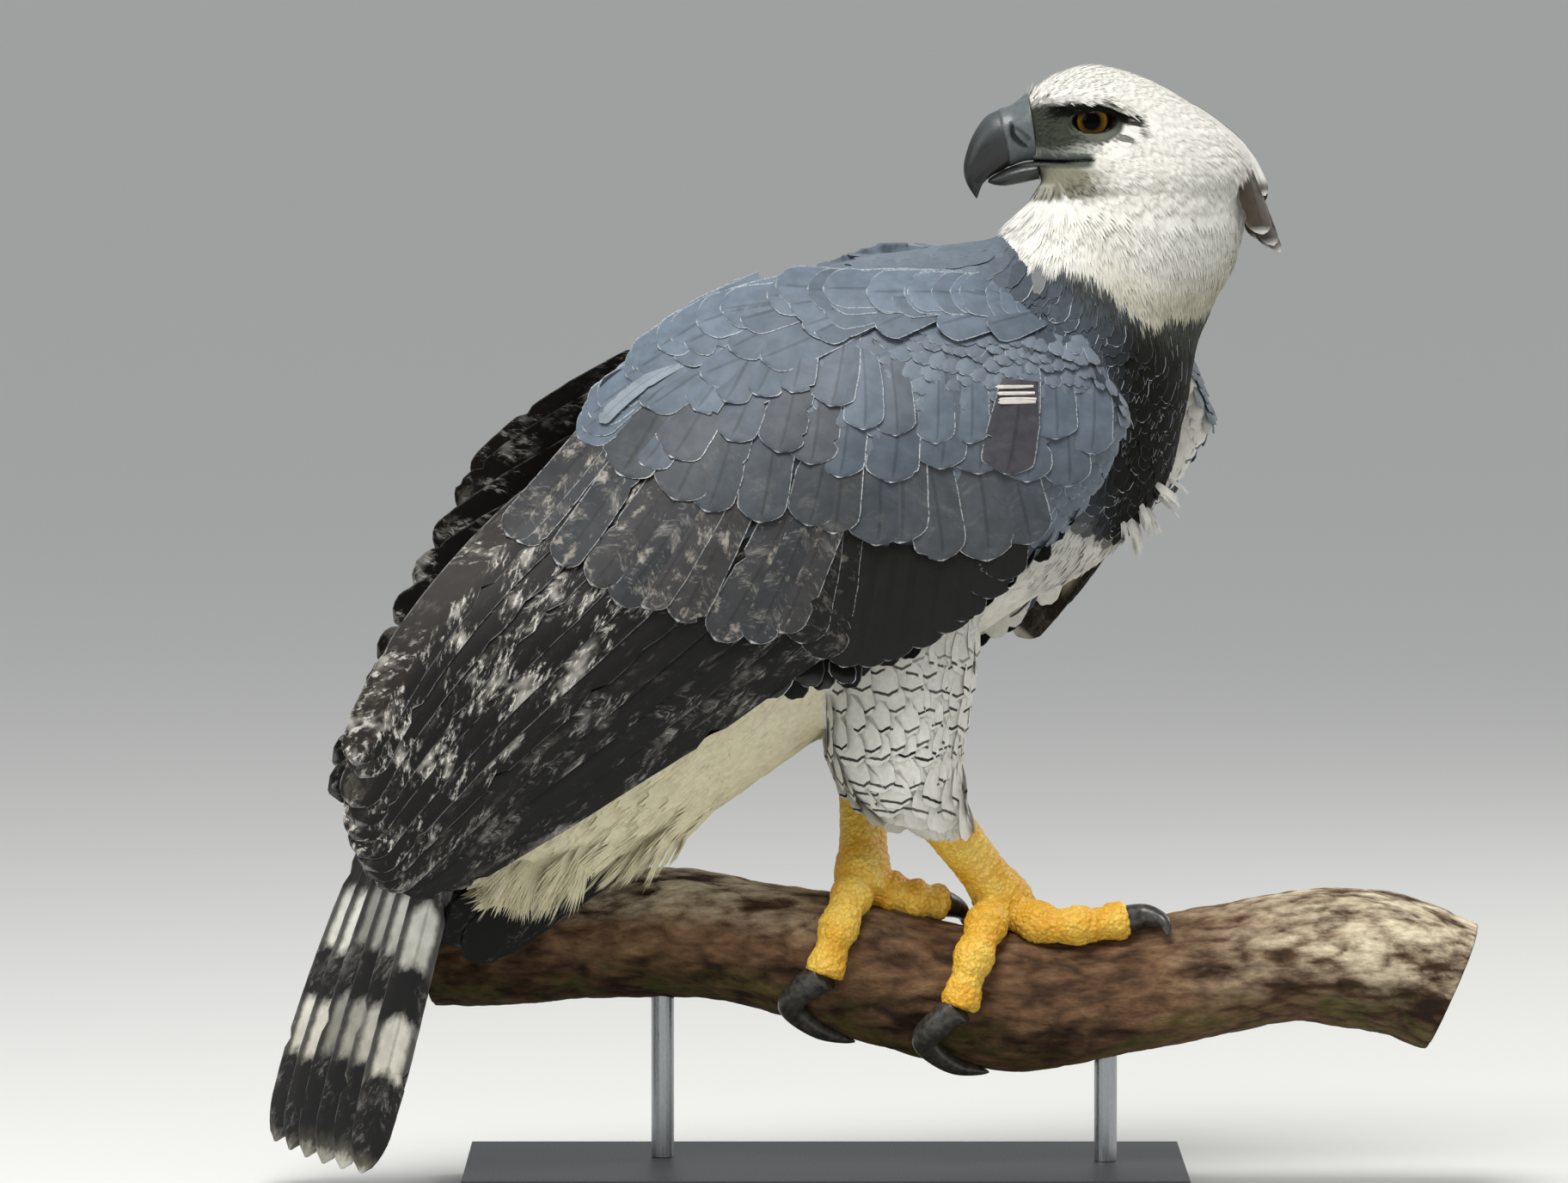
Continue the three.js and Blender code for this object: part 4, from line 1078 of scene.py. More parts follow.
# Loose tufts, as x, z and side of the skin, the way they hang, their length and how many.
looseTufts = [
    (205, 42, -1, (0.25, -0.1, -1), 26, 9), (218, 58, -1, (0.5, -0.1, -0.8), 22, 8),
    (196, 36, -1, (-0.1, -0.1, -1), 24, 8),
    (-60, -140, -1, (-0.75, -0.1, -0.6), 44, 12), (-85, -152, -1, (-0.65, -0.1, -0.75), 46, 12),
    (-115, -158, -1, (-0.7, -0.1, -0.65), 44, 12), (-145, -166, -1, (-0.6, -0.1, -0.75), 44, 14),
    (-168, -170, -1, (-0.5, -0.1, -0.85), 42, 14), (-185, -172, -1, (-0.4, -0.1, -0.9), 38, 12),
    (-95, -155, 1, (-0.65, 0.1, -0.75), 44, 12), (-150, -168, 1, (-0.6, 0.1, -0.75), 44, 14),
]


def bareSkin(place, normal, chart, rng):
    # no small feather grows on the eyes, mouth and bill, or below the large feathers
    x, y, z = place.T
    part, station, _ = chart.T
    body = part == 0
    headOut = np.abs(y - headPoint(x, z, 0)[:, 1])
    bare = body & (np.hypot((x - 165) / 17.5, (z - 287.5) / 10.5) < 1) & (headOut > 12)
    bare |= body & (z > 255) & (np.abs(z - 263.5) < 4.5) & (x < 165)
    bare |= body & (z > 250) & ((z < 293) & (x < 128) | (x < 121))
    lores = body & (headOut > 8) & (np.hypot((x - 143) / 14, (z - 286) / 13) < 1)
    bare |= lores & (rng.random(len(x)) < 0.4)
    a, b = wingPlace(rightWing, x, z)
    covered = (normal[:, 1] < 0) & (a > np.interp(b, [-160, -80, -20, 20, 40], [240, 150, 85, 60, 110]))
    bare |= (part == 3) & (covered | (a > 250))
    a, b = wingPlace(leftWing, x, z)
    covered = (normal[:, 1] > 0) & (a > np.interp(b, [-112, -50, 30, 50], [165, 130, 110, 150]))
    bare |= (part == 4) & (covered | (a > 250) | (b < tableValue(leftWing["back"], a, 10) + 16))
    # points on faces inside the body, such as the skull's lower end
    middle = charts[0].mean(1)
    at = np.round(station * (len(middle) - 1)).astype(int)
    outward = (normal * unit(place - middle[np.where(body, at, 0)])).sum(1)
    return bare | body & (station > 0.1) & (station < 0.85) & (outward < 0.45)


def mainCoat(s, rng):
    place, normal = skinSamples(s["samples"], s["seed"])
    chart = chartOf(place)
    length, width, rise, spacing, kind = coatSizes(place, normal, chart, rng)
    bare = bareSkin(place, normal, chart, rng)
    # the thighs carry barred feathers in rows, with a few wisps over them
    z, part = place[:, 2], chart[:, 0]
    barred = ((part == 1) | (part == 2)) & (z > np.where(part == 1, -128, -106))
    spacing[barred], width[barred], rise[barred], length[barred] = 4.6, 4.4, 1.6, 14.0
    live = np.nonzero(~bare)[0]
    keep = live[thinned(place[live], spacing[live], s["seed"] + 1)]
    place, normal, chart, kind = place[keep], normal[keep], chart[keep], kind[keep]
    size = np.stack([length, width, rise], -1)[keep]
    colour = coatColour(place, normal, chart)
    n, part, light = len(place), chart[:, 0], colour.max(1)
    shade = rng.normal(1, 0.07, n)
    rim = np.zeros(n)
    scaly = (part >= 3) & (light < 0.4)
    rim[scaly] = rng.uniform(0.1, 0.8, scaly.sum())
    dull = (part == 0) & (light < 0.4)
    rim[dull] = rng.uniform(0.0, 0.25, dull.sum())
    tipped = (part == 0) & (light < 0.12) & (rng.random(n) < 0.3)
    rim[tipped] = rng.uniform(0.5, 1.0, tipped.sum())
    spotted = (part == 4) & (colour.min(1) > 0.5) & (rng.random(n) < 0.16)
    colour[spotted] = plumage["black"]
    size[spotted] *= (0.7, 0.45, 1.3)
    white = colour.min(1) > 0.45
    shade[white] = rng.uniform(0.95, 1.02, white.sum())
    lie = lieAt(place, chart, normal)
    return batch(place, normal, chart, lie, size, kind, colour * shade[:, None], rim=rim)


def tuft(tree, rng, x, z, side, way, long, count):
    spots = np.stack([x + rng.normal(0, 6, count), np.zeros(count), z + rng.normal(0, 4, count)], -1)
    spots[:, 1] = bodyPoint(spots[:, 0], spots[:, 2], side * rng.uniform(2, 40, count))[:, 1]
    found = [tree.find(q)[1] for q in spots]
    lie = unit(np.array(way) + rng.normal(0, 0.12, (count, 3)))
    size = np.stack([long * rng.uniform(0.7, 1.1, count), rng.uniform(17, 24, count) * long / 44,
                     rng.uniform(4, 8, count)], -1)
    tint = blend(plumage["white"], plumage["cream"], 0.65 if x < 0 else 0)
    kind = rng.integers(8, 10, count)
    return batch(skinPlace[found], skinNormal[found], skinChart[found], lie, size, kind, tint)


def layCoat(name, coat, slotName, tree, ids, seed):
    obj = makeMesh(name, coat["place"], [])
    rows = {"lie": coat["lie"], "facing": coat["normal"], "size": coat["size"] * 0.001,
            "rootMap": chartMap(coat["chart"])}
    for key, values in rows.items():
        store(obj, key, "FLOAT_VECTOR", values)
    store(obj, "kind", "INT", coat["kind"])
    store(obj, "band", "FLOAT", coat["band"])
    paint(obj, np.clip(coat["colour"], 0, 1), coat["rim"])
    step = obj.modifiers.new("feathers", "NODES")
    step.node_group = tree
    step[ids["Seed"]] = seed + len(name)
    step[ids["Twist"]] = 0.06 if name.startswith("thigh") else 0.14
    applied(obj)
    for key in (*rows, "kind"):
        obj.data.attributes.remove(obj.data.attributes[key])
    finish(obj, slotName)
    tris = sum(len(p.vertices) - 2 for p in obj.data.polygons)
    print(name, len(coat["place"]), "feathers,", tris, "triangles")


def growCoat(s):
    rng = np.random.default_rng(s["seed"])
    batches = [mainCoat(s, rng), thighFeathers(charts[1], 1, rng), thighFeathers(charts[2], 2, rng)]
    tree = lookup(skinPlace)
    batches += [tuft(tree, rng, *row) for row in looseTufts]
    coat = {key: np.concatenate([each[key] for each in batches]) for key in batches[0]}
    x, _, z = coat["place"].T
    part = coat["chart"][:, 0]
    body = part == 0
    pieces = {
        "headCoat": (body & (z > 238) & (z <= 280), "white_feathers", softPlumage),
        "neckCoat": (body & (z > 150) & (z <= 238) & (x > 80), "slate_feathers", softPlumage),
        "breastCoat": (body & (z <= 150) & (x > 80), "slate_feathers", softPlumage),
        "backCoat": (body & (z > 0) & (x <= 80), "slate_feathers", slatePlumage),
        "bellyCoat": (body & (z <= 0) & (x <= 80), "white_feathers", softPlumage),
        "thighRightCoat": (part == 1, "white_feathers", softPlumage),
        "thighLeftCoat": (part == 2, "white_feathers", softPlumage),
        "wingRightCoat": (part == 3, "dark_feathers", slatePlumage),
        "wingLeftCoat": (part == 4, "dark_feathers", slatePlumage),
        "crownCoat": (body & (z > 280), "white_feathers", softPlumage),
    }
    trees = {look.name: coatTree(look) for look in (softPlumage, slatePlumage)}
    for name, (mask, slotName, look) in pieces.items():
        chosen = {key: values[mask] for key, values in coat.items()}
        layCoat(name, chosen, slotName, *trees[look.name], s["seed"])


growCoat(coatSettings)

# Large feathers: closed thin vanes, each on a path over a surface. What a style leaves out comes from here.
# shaft: its place across; dense: more rows to the tip; bow: how a straight path bends;
# ridge: how high the shaft stands.
coverProfile = [(0, 0.7), (0.35, 0.95), (0.75, 1.0), (1, 0.95)]
vaneStyle = {"rows": 12, "cols": 7, "shaft": 0.0, "dense": 1.3, "bow": 0.0, "tipLong": 1.1, "notches": 0.1,
             "sweep": 0.5, "blunt": 0.1, "tilt": 0.6, "arch": 0.5, "jitter": 0.12, "ridge": 0.3, "thick": 0.8,
             "vary": 0.07, "profile": coverProfile}


class VaneBag:
    # gathers the vanes of one piece
    def __init__(self, seed):
        self.rng = np.random.default_rng(seed)
        self.verts, self.faces, self.maps, self.tints, self.marks, self.owner = [], [], [], [], [], []
        self.total = 0
        self.count = 0

    def add(self, surface, path, style, tint, rim=0.0, mark=(0.0, 0.0)):
        rng = self.rng
        s = {**vaneStyle, **style}
        rows, cols, shaft = s["rows"], s["cols"], s["shaft"]
        f = 1 - (1 - np.linspace(0, 1, rows)) ** s["dense"]
        left = (cols + 1) // 2
        u = np.concatenate([np.linspace(-1, shaft, left), np.linspace(shaft, 1, cols - left + 1)[1:]])
        mapU = np.concatenate([np.linspace(0, 0.5, left), np.linspace(0.5, 1, cols - left + 1)[1:]])
        p = np.array(path, float)
        if len(p) == 2:
            dx, dy = p[1] - p[0]
            bow = np.array([-dy, dx]) * (s["bow"] + rng.normal(0, 0.012))
            p = np.array([p[0], (p[0] + p[1]) / 2 + bow, p[1]])
        g = f[:, None]
        middle = (1 - g) ** 2 * p[0] + 2 * g * (1 - g) * p[1] + g * g * p[2]
        ahead = unit((1 - g) * (p[1] - p[0]) + g * (p[2] - p[1]) + 1e-6)
        profile = np.array(s["profile"], float)
        tipRun = np.clip((1 - f) * runOf(p)[-1] / (s["tipLong"] * s["half"]), 0.004, 1)
        wide = np.interp(f, profile[:, 0], profile[:, 1]) * s["half"] * np.sqrt(1 - (1 - tipRun) ** 2)
        grid = wide[:, None] * u[None, :]
        for edge in (0, -1):
            notch = np.where(rng.random(rows) < s["notches"], rng.uniform(0.08, 0.3, rows), 0)
            notch[:2] = 0
            grid[:, edge] *= 1 - notch - rng.uniform(0, 0.03, rows)
        sweep = s["sweep"] * np.abs(grid - grid[:, [left - 1]]) * (f * (1 - f) * 4)[:, None]
        back = sweep - s["blunt"] * np.abs(grid) * np.abs(u) * ease(f, 0.75, 1.0)[:, None]
        a = middle[:, [0]] + ahead[:, [0]] * back - ahead[:, [1]] * grid
        b = middle[:, [1]] + ahead[:, [1]] * back + ahead[:, [0]] * grid
        lift = tableValue(s["lift"], f)[:, None] + s["tilt"] * u[None, :] * (wide / s["half"])[:, None]
        lift = lift + s["arch"] * (1 - u ** 2)[None, :] + rng.normal(0, s["jitter"])
        lift[:, left - 1] += s["ridge"] * (1 - 0.7 * f)
        thick = s["thick"] * (1 - u ** 2)[None, :] * (1 - 0.5 * f)[:, None]
        inside = (slice(1, -1), slice(1, -1))
        top, low = surface(a, b, lift), surface(a, b, lift - thick)[inside]
        place = np.concatenate([top.reshape(-1, 3), low.reshape(-1, 3)])
        mapTop = np.stack(np.broadcast_arrays(mapU[None, :], f[:, None]), -1)
        maps = np.concatenate([mapTop.reshape(-1, 2), mapTop[inside].reshape(-1, 2)])
        colour = tint(maps[:, 1], maps[:, 0]) if callable(tint) else np.tile(tint, (len(maps), 1))
        colour = colour * rng.normal(1, s["vary"])
        rims = np.full(len(maps), rim * rng.uniform(0.6, 1.2))
        faces = vaneFaces(rows, cols)
        self.verts.append(place)
        self.faces.append(faces + self.total)
        self.maps.append(maps)
        self.tints.append(np.clip(np.column_stack([colour, rims]), 0, 1))
        self.marks.append(np.tile([rng.random(), *mark], (len(maps), 1)))
        self.owner.append(np.full(len(faces), self.count))
        self.total += len(place)
        self.count += 1

    def build(self, name, material):
        obj = makeMesh(name, np.concatenate(self.verts), np.concatenate(self.faces).tolist())
        maps, owner, tints = np.concatenate(self.maps), np.concatenate(self.owner), np.concatenate(self.tints)
        paint(obj, tints[:, :3], tints[:, 3])
        store(obj, "mark", "FLOAT_VECTOR", np.concatenate(self.marks))
        loops = np.empty(len(obj.data.loops), int)
        obj.data.loops.foreach_get("vertex_index", loops)
        uv = maps[loops]
        # each vane bakes in a cell of its own
        side = math.ceil(math.sqrt(self.count))
        cell = np.repeat(owner, 4)
        bake = (np.stack([cell % side, cell // side], -1) + 0.04 + 0.92 * uv) / side
        for mapName, value in (("vane", uv), ("OFBake", bake)):
            made = obj.data.uv_layers.new(name=mapName)
            made.data.foreach_set("uv", value.astype(np.float32).ravel())
        faceOut(obj, 0.6)
        obj.data.materials.append(material)
        print(name, self.count, "vanes,", len(owner) * 2, "triangles")
        return obj


def flightMaterial(name, roughness, bars=None):
    # large feathers: shaft, barbs, pale rim, mottling by the mark, and bars by the length
    material, w, shader = newMaterial(name, roughness)
    colour = w.stored("tint", "Color")
    u, v, _ = w.parts(w.stored("vane"))
    rand, mottle, barring = w.parts(w.stored("mark"))
    across = abs(u * 2.0 - 1.0)

    def cloudy(x, y, apart, detail, rough):
        # noise over the vane, moved apart for each feather
        return w.noise(w.joined(x, y, rand * apart), 1.0, detail, rough)

    cloud = cloudy(u * 5.0, v * 34.0, 60.0, 4, 0.65)
    if bars:
        bent = v + (cloud - 0.5) * 0.05 + (rand - 0.5) * 0.07 + across * -0.012
        # darker toward both edges of each vane: the tail's own dark, with a painted shadow where neighbouring
        # feathers overlap
        inner = w.range(across + cloud * 0.3, 0.62, 0.95, 0.0, 0.9)
        pattern = w.mix(inner * w.range(v, 0.94, 0.9), w.ramp(bent, bars), colour4("17140f"))
        pattern = w.times(pattern, w.range(barring, 0.4, 1.0, 0.25, 1.0))
        colour = w.mix(w.range(barring, 0.0, 0.4), colour, pattern)
    else:
        blotch = w.range(cloudy(u * 2.2, v * 8.0, 30.0, 4, 0.7), 0.54, 0.70)
        colour = w.mix(blotch * barring, colour, colour4("a39c90"))
        # darker toward one edge of the vane: the feather's own dark edge, with a painted shadow in the gaps
        # between feathers
        lower = w.range(u + cloud * 0.2, 0.62, 0.95) * 0.85 * w.range(mottle, 0.3, 0.6)
        colour = w.mix(lower, colour, colour4("0b0a09"))
    slant = across * -0.045 + v + (cloud - 0.5) * 0.03
    fine = cloudy(u * 5.0, slant * 52.0, 90.0, 4, 0.75)
    cluster = cloudy(u * 1.2, v * 9.0, 70.0, 3, 0.6)
    scribble = w.range(fine, 0.51, 0.63) * w.range(cluster, 0.47, 0.58)
    scribble = scribble + w.range(cluster, 0.57, 0.72, 0.0, 0.7)
    colour = w.mix(w.maths("MULTIPLY", scribble, mottle, clamp=True), colour, colour4("c6c1b8"))
    lines = w.maths("SINE", v * 420.0 + across * -60.0) * 0.07 + 0.97
    colour = w.times(colour, lines)
    rim = w.range(w.maths("MAXIMUM", across, w.range(v, 0.90, 1.0)), 0.93, 0.99)
    colour = w.mix(rim * w.stored("tint", "Alpha") * w.range(cloud, 0.35, 0.55), colour, colour4("cdd1d2"))
    shaft = w.range(across, 0.10, 0.03) * w.range(v, 1.0, 0.9)
    colour = w.mix(shaft * 0.6, colour, w.mix(0.5, colour, colour4("1a1612")))
    colour = w.times(colour, w.range(w.noise(w.place(), 90, 3, 0.6), 0.3, 0.7, 0.85, 1.1))
    w.put(shader, {"Base Color": colour, "Specular IOR Level": 0.22})
    w.bump(lines, 0.5, 0.0003, shader)
    return material


tailBars = [(0.0, "3a352b"), (0.44, "2a261f"), (0.47, "d8d7cd"), (0.565, "cfcdc0"), (0.59, "0e0e0d"),
            (0.675, "100f0d"), (0.70, "d3cfc2"), (0.79, "cbc6b6"), (0.815, "0d0c0b"), (0.955, "100f0d"),
            (0.985, "5f5a4e"), (1.0, "c8c3b4")]
flightPlumage = flightMaterial("flightPlumage", 0.5)
tailPlumage = flightMaterial("tailPlumage", 0.55, tailBars)
flightProfile = [(0, 0.5), (0.35, 0.95), (0.7, 1.0), (0.9, 0.94), (1, 0.85)]
# Rows of coverts: tips as (a, b) along the row, their directions at shares of it, and their looks.
wingRows = {
    "greater": {
        "tips": [(356, -140), (352, -120), (332, -94), (322, -64), (300, -49), (284, -20), (261, -3),
                 (244, 14)],
        "turn": [(0, 0.30), (0.3, 0.44), (0.6, 0.52), (1, 0.70)], "lift": [(0, -4.4), (0.35, -1.2), (1, 1.9)],
        "count": 10, "length": 128, "half": 13.5, "tint": "35373a", "rim": 0.6, "mark": (0.2, 0.8),
    },
    "median": {
        "tips": [(292, -136), (262, -110), (247, -88), (227, -68), (202, -46), (185, -33), (168, -9),
                 (150, 4), (134, 23), (105, 32), (77, 42)],
        "turn": [(0, 0.5), (0.25, 0.72), (0.5, 0.98), (1, 1.25)], "lift": [(0, -4.6), (0.4, -1.3), (1, 1.5)],
        "count": 11, "length": 84, "half": 16.5, "tint": "454b50", "rim": 0.8, "mark": (0.03, 0.12),
    },
    "lesser": {
        "tips": [(271, -143), (250, -124), (218, -116), (194, -95), (181, -76), (164, -58), (140, -40),
                 (112, -23), (84, -10), (59, 12), (40, 28)],
        "turn": [(0, 0.43), (0.25, 0.7), (0.5, 1.0), (1, 1.12)], "lift": [(0, -4.7), (0.4, -1.6), (1, 1.1)],
        "count": 11, "length": 66, "half": 16, "tint": "555e68", "rim": 0.85, "mark": (0.02, 0.04),
    },
    "lesserHigh": {
        "tips": [(261, -166), (222, -147), (199, -136), (174, -122), (151, -102), (137, -80), (118, -58),
                 (92, -42), (62, -26), (40, -6), (24, 14)],
        "turn": [(0, 0.28), (0.25, 0.65), (0.5, 1.0), (1, 1.15)], "lift": [(0, -4.7), (0.4, -1.7), (1, 0.8)],
        "count": 13, "length": 52, "half": 13, "tint": "616c78", "rim": 0.85, "mark": (0.0, 0.0),
    },
}
flightStyle = {"rows": 34, "profile": flightProfile, "lift": [(0, -4.2), (0.2, -2.0), (0.42, 0.2), (1, 0.5)],
               "tilt": 1.5, "arch": 0.3, "notches": 0.07, "thick": 0.9, "sweep": 0.45}
covertStyle = {"rows": 18, "cols": 9, "tilt": 0.7, "arch": 0.8, "shaft": 0.1,
               "notches": 0.05, "bow": 0.03, "tipLong": 0.95, "jitter": 0.25}
alulaStyle = {"rows": 22, "cols": 9, "half": 15, "tilt": 0.8, "arch": 0.9, "shaft": 0.25}
shoulderStyle = {"rows": 16, "cols": 9, "notches": 0.04, "arch": 0.8, "tipLong": 1.5}
shoulderLine = [(24, -92), (58, -112), (111, -134), (166, -148), (230, -160), (290, -158)]
# Far wing: three feathers with a pale patch that show past the breast, root and tip.
patchedFeathers = [((22, 4), (112, 58)), ((42, 18), (138, 74)), ((66, 32), (162, 85))]
patchedStyle = {"rows": 26, "cols": 9, "half": 12.5, "tilt": 0.8, "arch": 0.9,
                "lift": [(0, -6), (0.35, 0.5), (1, 2.5)], "shaft": 0.2}
# Near wing: a dark covert turned over, the pale slivers on it, and a bent feather at the back.
turnedStyle = {"rows": 22, "cols": 9, "half": 17, "tilt": 0.7, "arch": 0.9,
               "lift": [(0, -1), (0.1, 1.4), (1, 2.4)], "shaft": 0.1, "tipLong": 1.0, "notches": 0.05}
sliverStyle = {"rows": 8, "cols": 3, "half": 1.1, "lift": [(0, 2.3), (1, 2.9)],
               "tilt": 0, "arch": 0.1, "notches": 0}
bentStyle = {"rows": 22, "half": 4.2, "lift": [(0, -2), (0.4, 2), (1, 3.2)],
             "tilt": 0.5, "arch": 0.6, "notches": 0.15}


def linePoint(points, share):
    # the place at that share of a line, each of its spans counted alike
    return splinePoints(points, 201)[int(round(np.clip(share, 0, 1) * 200))]


def rootOf(tip, length, angle):
    return tip - length * np.array([math.cos(angle), math.sin(angle)])


def inside(wing, point, margin):
    # moves a point of a feather in from the wing's back edge
    point[1] = max(point[1], float(tableValue(wing["back"], point[0], 10)) + margin)


def layFlights(bag, wing, surface, near):
    count = wing["flights"]
    narrow, broad = wing["flightWidth"]
    for i in range(count):
        f = i / (count - 1)
        path = [linePoint(wing[key], f) for key in ("roots", "bends", "tips")]
        path[2] = path[2] + bag.rng.normal(0, 2.0, 2) * (0 < i < count - 1)
        outer = ease(f, 0.45, 0.75)
        tint = blend(rgb("191613"), rgb("0e0e0d"), outer)
        if f < 0.25:
            tint = blend(rgb("26211d"), tint, f * 4)
        style = {**flightStyle, "half": (narrow + (broad - narrow) * f) / 2 + 1, "shaft": 0.2 + 0.3 * outer}
        mark = (0.9 * (1 - 0.7 * outer), 0.15 if near else 0.4)
        bag.add(surface, path, style, tint, 0.25 * (1 - outer), mark)


def layCoverts(bag, wing, surface, near):
    rng = bag.rng
    for key, row in wingRows.items():
        line = row["tips"] if near else wing[key.replace("High", "")]
        shift = 24 if key == "lesserHigh" and not near else 0
        for i in range(row["count"]):
            f = (i + 0.5) / row["count"]
            tip = linePoint(line, f) - (shift, 0) + rng.normal(0, 2.6, 2)
            angle = float(tableValue(row["turn"], f)) + rng.normal(0, 0.06)
            if not near:
                inside(wing, tip, 28)
            root = rootOf(tip, row["length"] * rng.uniform(0.95, 1.05), angle)
            if not near:
                inside(wing, root, 26)
            style = {**covertStyle, "half": row["half"] * rng.uniform(0.9, 1.1), "lift": row["lift"]}
            if key == "greater":
                style["rows"] = 26
                style["half"] *= 0.75 + 0.25 * min(1, i / 3)
            tint = blend(rgb(row["tint"]), rgb("453f3b"), rng.uniform(0, 0.55) ** 1.5)
            # the far wing's coverts a tenth darker than the near wing's: painted shade
            bag.add(surface, [root, tip], style, tint * (1.0 if near else 0.9), row["rim"], row["mark"])


def patched(v, u):
    # dark with a pale patch across the middle and a pale tip
    spot = ease(v, 0.42, 0.52) * ease(v, 0.66, 0.58) * ease(np.abs(u - 0.4), 0.42, 0.2)
    return blend(blend(rgb("2c231b"), rgb("b9a98c"), spot), rgb("d8d2c4"), ease(v, 0.93, 0.97))


def layOddFeathers(bag, surface, near):
    if not near:
        for path in patchedFeathers:
            bag.add(surface, path, patchedStyle, patched, 0.2, (0.1, 0.2))
        return
    bag.add(surface, [(41, -52), (78, -8)], turnedStyle, rgb("45444a"), 0.6, (0.02, 0.1))
    for k in range(4):
        root = np.array([36 + 1.3 * k, -43 + 2.5 * k]) + bag.rng.normal(0, 0.5, 2)
        bag.add(surface, [root, root + (20, -12)], sliverStyle, rgb("d8d2c9"))
    bag.add(surface, [(204, -164), (236, -172), (272, -160)], bentStyle, rgb("828b93"), 0.3)


def layAlula(bag, wing, surface, near):
    # the bastard wing and the primary coverts
    count = 11 if near else 8
    for i in range(count):
        f = (i + 0.5) / count
        tip = linePoint(wing["alula"], f) + bag.rng.normal(0, 1.2, 2) - (0, 0 if near else 7)
        root = rootOf(tip, 88 - 34 * f, 0.80 + 0.15 * f if near else 0.5)
        style = {**alulaStyle, "lift": [(0, -4.6), (0.4, -1.4), (1, 1.9 + 0.5 * f)]}
        mark = (0.1 if i < 2 else 0.0, 0.25 if i < 3 else 0.0)
        bag.add(surface, [root, tip], style, rgb("151613"), 0.45, mark)


def layShoulder(bag, wing, surface, near):
    # rows of feathers along the back edge, each row lower on the back than the last
    rng = bag.rng
    for rank in range(5):
        count = 8 + rank
        for i in range(count):
            f = (i + 0.5 + 0.25 * (rank % 2)) / count
            tip = linePoint(shoulderLine, f) + (10 - 11 * rank, -8 * rank) + rng.normal(0, 3.0, 2)
            if tip[0] < (14 if near else 60):
                continue
            inside(wing, tip, 4 if near else 25)
            angle = -0.26 + 0.34 * f + rng.normal(0, 0.05)
            root = rootOf(tip, min(rng.uniform(58, 76), tip[0] - (2 if near else 20)), angle)
            inside(wing, root, 3 if near else 25)
            style = {**shoulderStyle, "half": rng.uniform(12, 14),
                     "lift": [(0, -4.4), (0.4, -1.6 + 0.15 * rank), (1, 0.5 + 0.3 * rank)]}
            # each rank a little lighter than the last, the highest rows lightest: painted light from above
            bag.add(surface, [root, tip], style, rgb("616c78") * (0.9 + 0.05 * rank), 0.55)


def buildWing(wing, name, seed):
    surface = wingSurface(wing)
    bag = VaneBag(seed)
    near = wing["side"] < 0
    layFlights(bag, wing, surface, near)
    layCoverts(bag, wing, surface, near)
    layOddFeathers(bag, surface, near)
    layAlula(bag, wing, surface, near)
    layShoulder(bag, wing, surface, near)
    return bag.build(name, flightPlumage)


finish(buildWing(rightWing, "wingRightFeathers", 21), "dark_feathers", "wing_right")
finish(buildWing(leftWing, "wingLeftFeathers", 22), "dark_feathers", "wing_left")

tailSettings = {
    "root": (-194.5, -54, -1), "line": (-0.243, -0.074, -0.967), "across": (-0.616, 0.775, 0.119),
    "length": 360, "feathers": 12, "spread": (40, 110, 116), "bend": 200, "half": 23, "seed": 31,
    "bars": (0.85, 0.75, 0.66, 0.6, 0.95, 1.0),
}
tailStyle = {"rows": 44, "cols": 9, "profile": [(0, 0.5), (0.35, 0.86), (0.8, 0.95), (1, 0.8)], "tilt": 0.0,
             "tipLong": 1.25, "arch": 0.9, "thick": 0.9, "ridge": 0.35, "sweep": 0.35, "dense": 1.15,
             "jitter": 0.02}


def tailSurface(s):
    line = unit(s["line"])
    across = np.array(s["across"])
    up = unit(np.cross(across, line))

    def surface(l, m, lift):
        l, m, lift = np.broadcast_arrays(*(np.asarray(v, float) for v in (l, m, lift)))
        drop = lift - (m / 100) ** 2 * 6
        return np.array(s["root"]) + l[..., None] * line + m[..., None] * across + drop[..., None] * up

    return surface


def tailCoverts(bag, surface, way):
    # long covering feathers over the roots, above or below; way is 1 above and -1 below
    rng = bag.rng
    depth = 3.5 if way > 0 else 15
    for rank in range(3):
        for i in range(7):
            m = -24 + 10.5 * i + rng.normal(0, 1.5)
            if way < 0 and m > 18:
                continue
            tip = np.array([178 - 34 * rank + rng.normal(0, 5) - 0.02 * (m - 8) ** 2, m * 1.15])
            root = np.array([tip[0] - 88, m * 0.7 + 2])
            lift = way * (depth + 0.8 * rank)
            style = {"rows": 16, "half": 10, "arch": 1.2 * way,
                     "lift": [(0, lift - way), (1, lift)], "tilt": 0, "notches": 0.3}
            bag.add(surface, [root, tip], style, rgb("454b50" if way > 0 else "cfc8ae"), 0.5, (0.1, 0.0))


def buildTail(s):
    surface = tailSurface(s)
    bag = VaneBag(s["seed"])
    half = s["feathers"] // 2
    for i in range(s["feathers"]):
        far = i < half
        order = i if far else i - half
        share = order / (half - 1) if far else 0.014 * (2 * order + 1)
        length = s["length"] + (2 * order - 10 * share * share if far else -3 * order)
        drop = 1.2 * (2 * order + (0 if far else 1))
        style = {**tailStyle, "half": s["half"], "shaft": -0.1 if far else 0.1, "lift": [(0, -drop)]}
        path = [(l, share * m) for l, m in zip((60, s["bend"], length), s["spread"])]
        mark = (0.16, s["bars"][order] + bag.rng.uniform(-0.05, 0))
        bag.add(surface, path, style, rgb("57503f"), 0.1, mark)
    tailCoverts(bag, surface, 1)
    tailCoverts(bag, surface, -1)
    return bag.build("tailFeathers", tailPlumage)


finish(buildTail(tailSettings), "dark_feathers", "tail")
print("wings and tail laid")

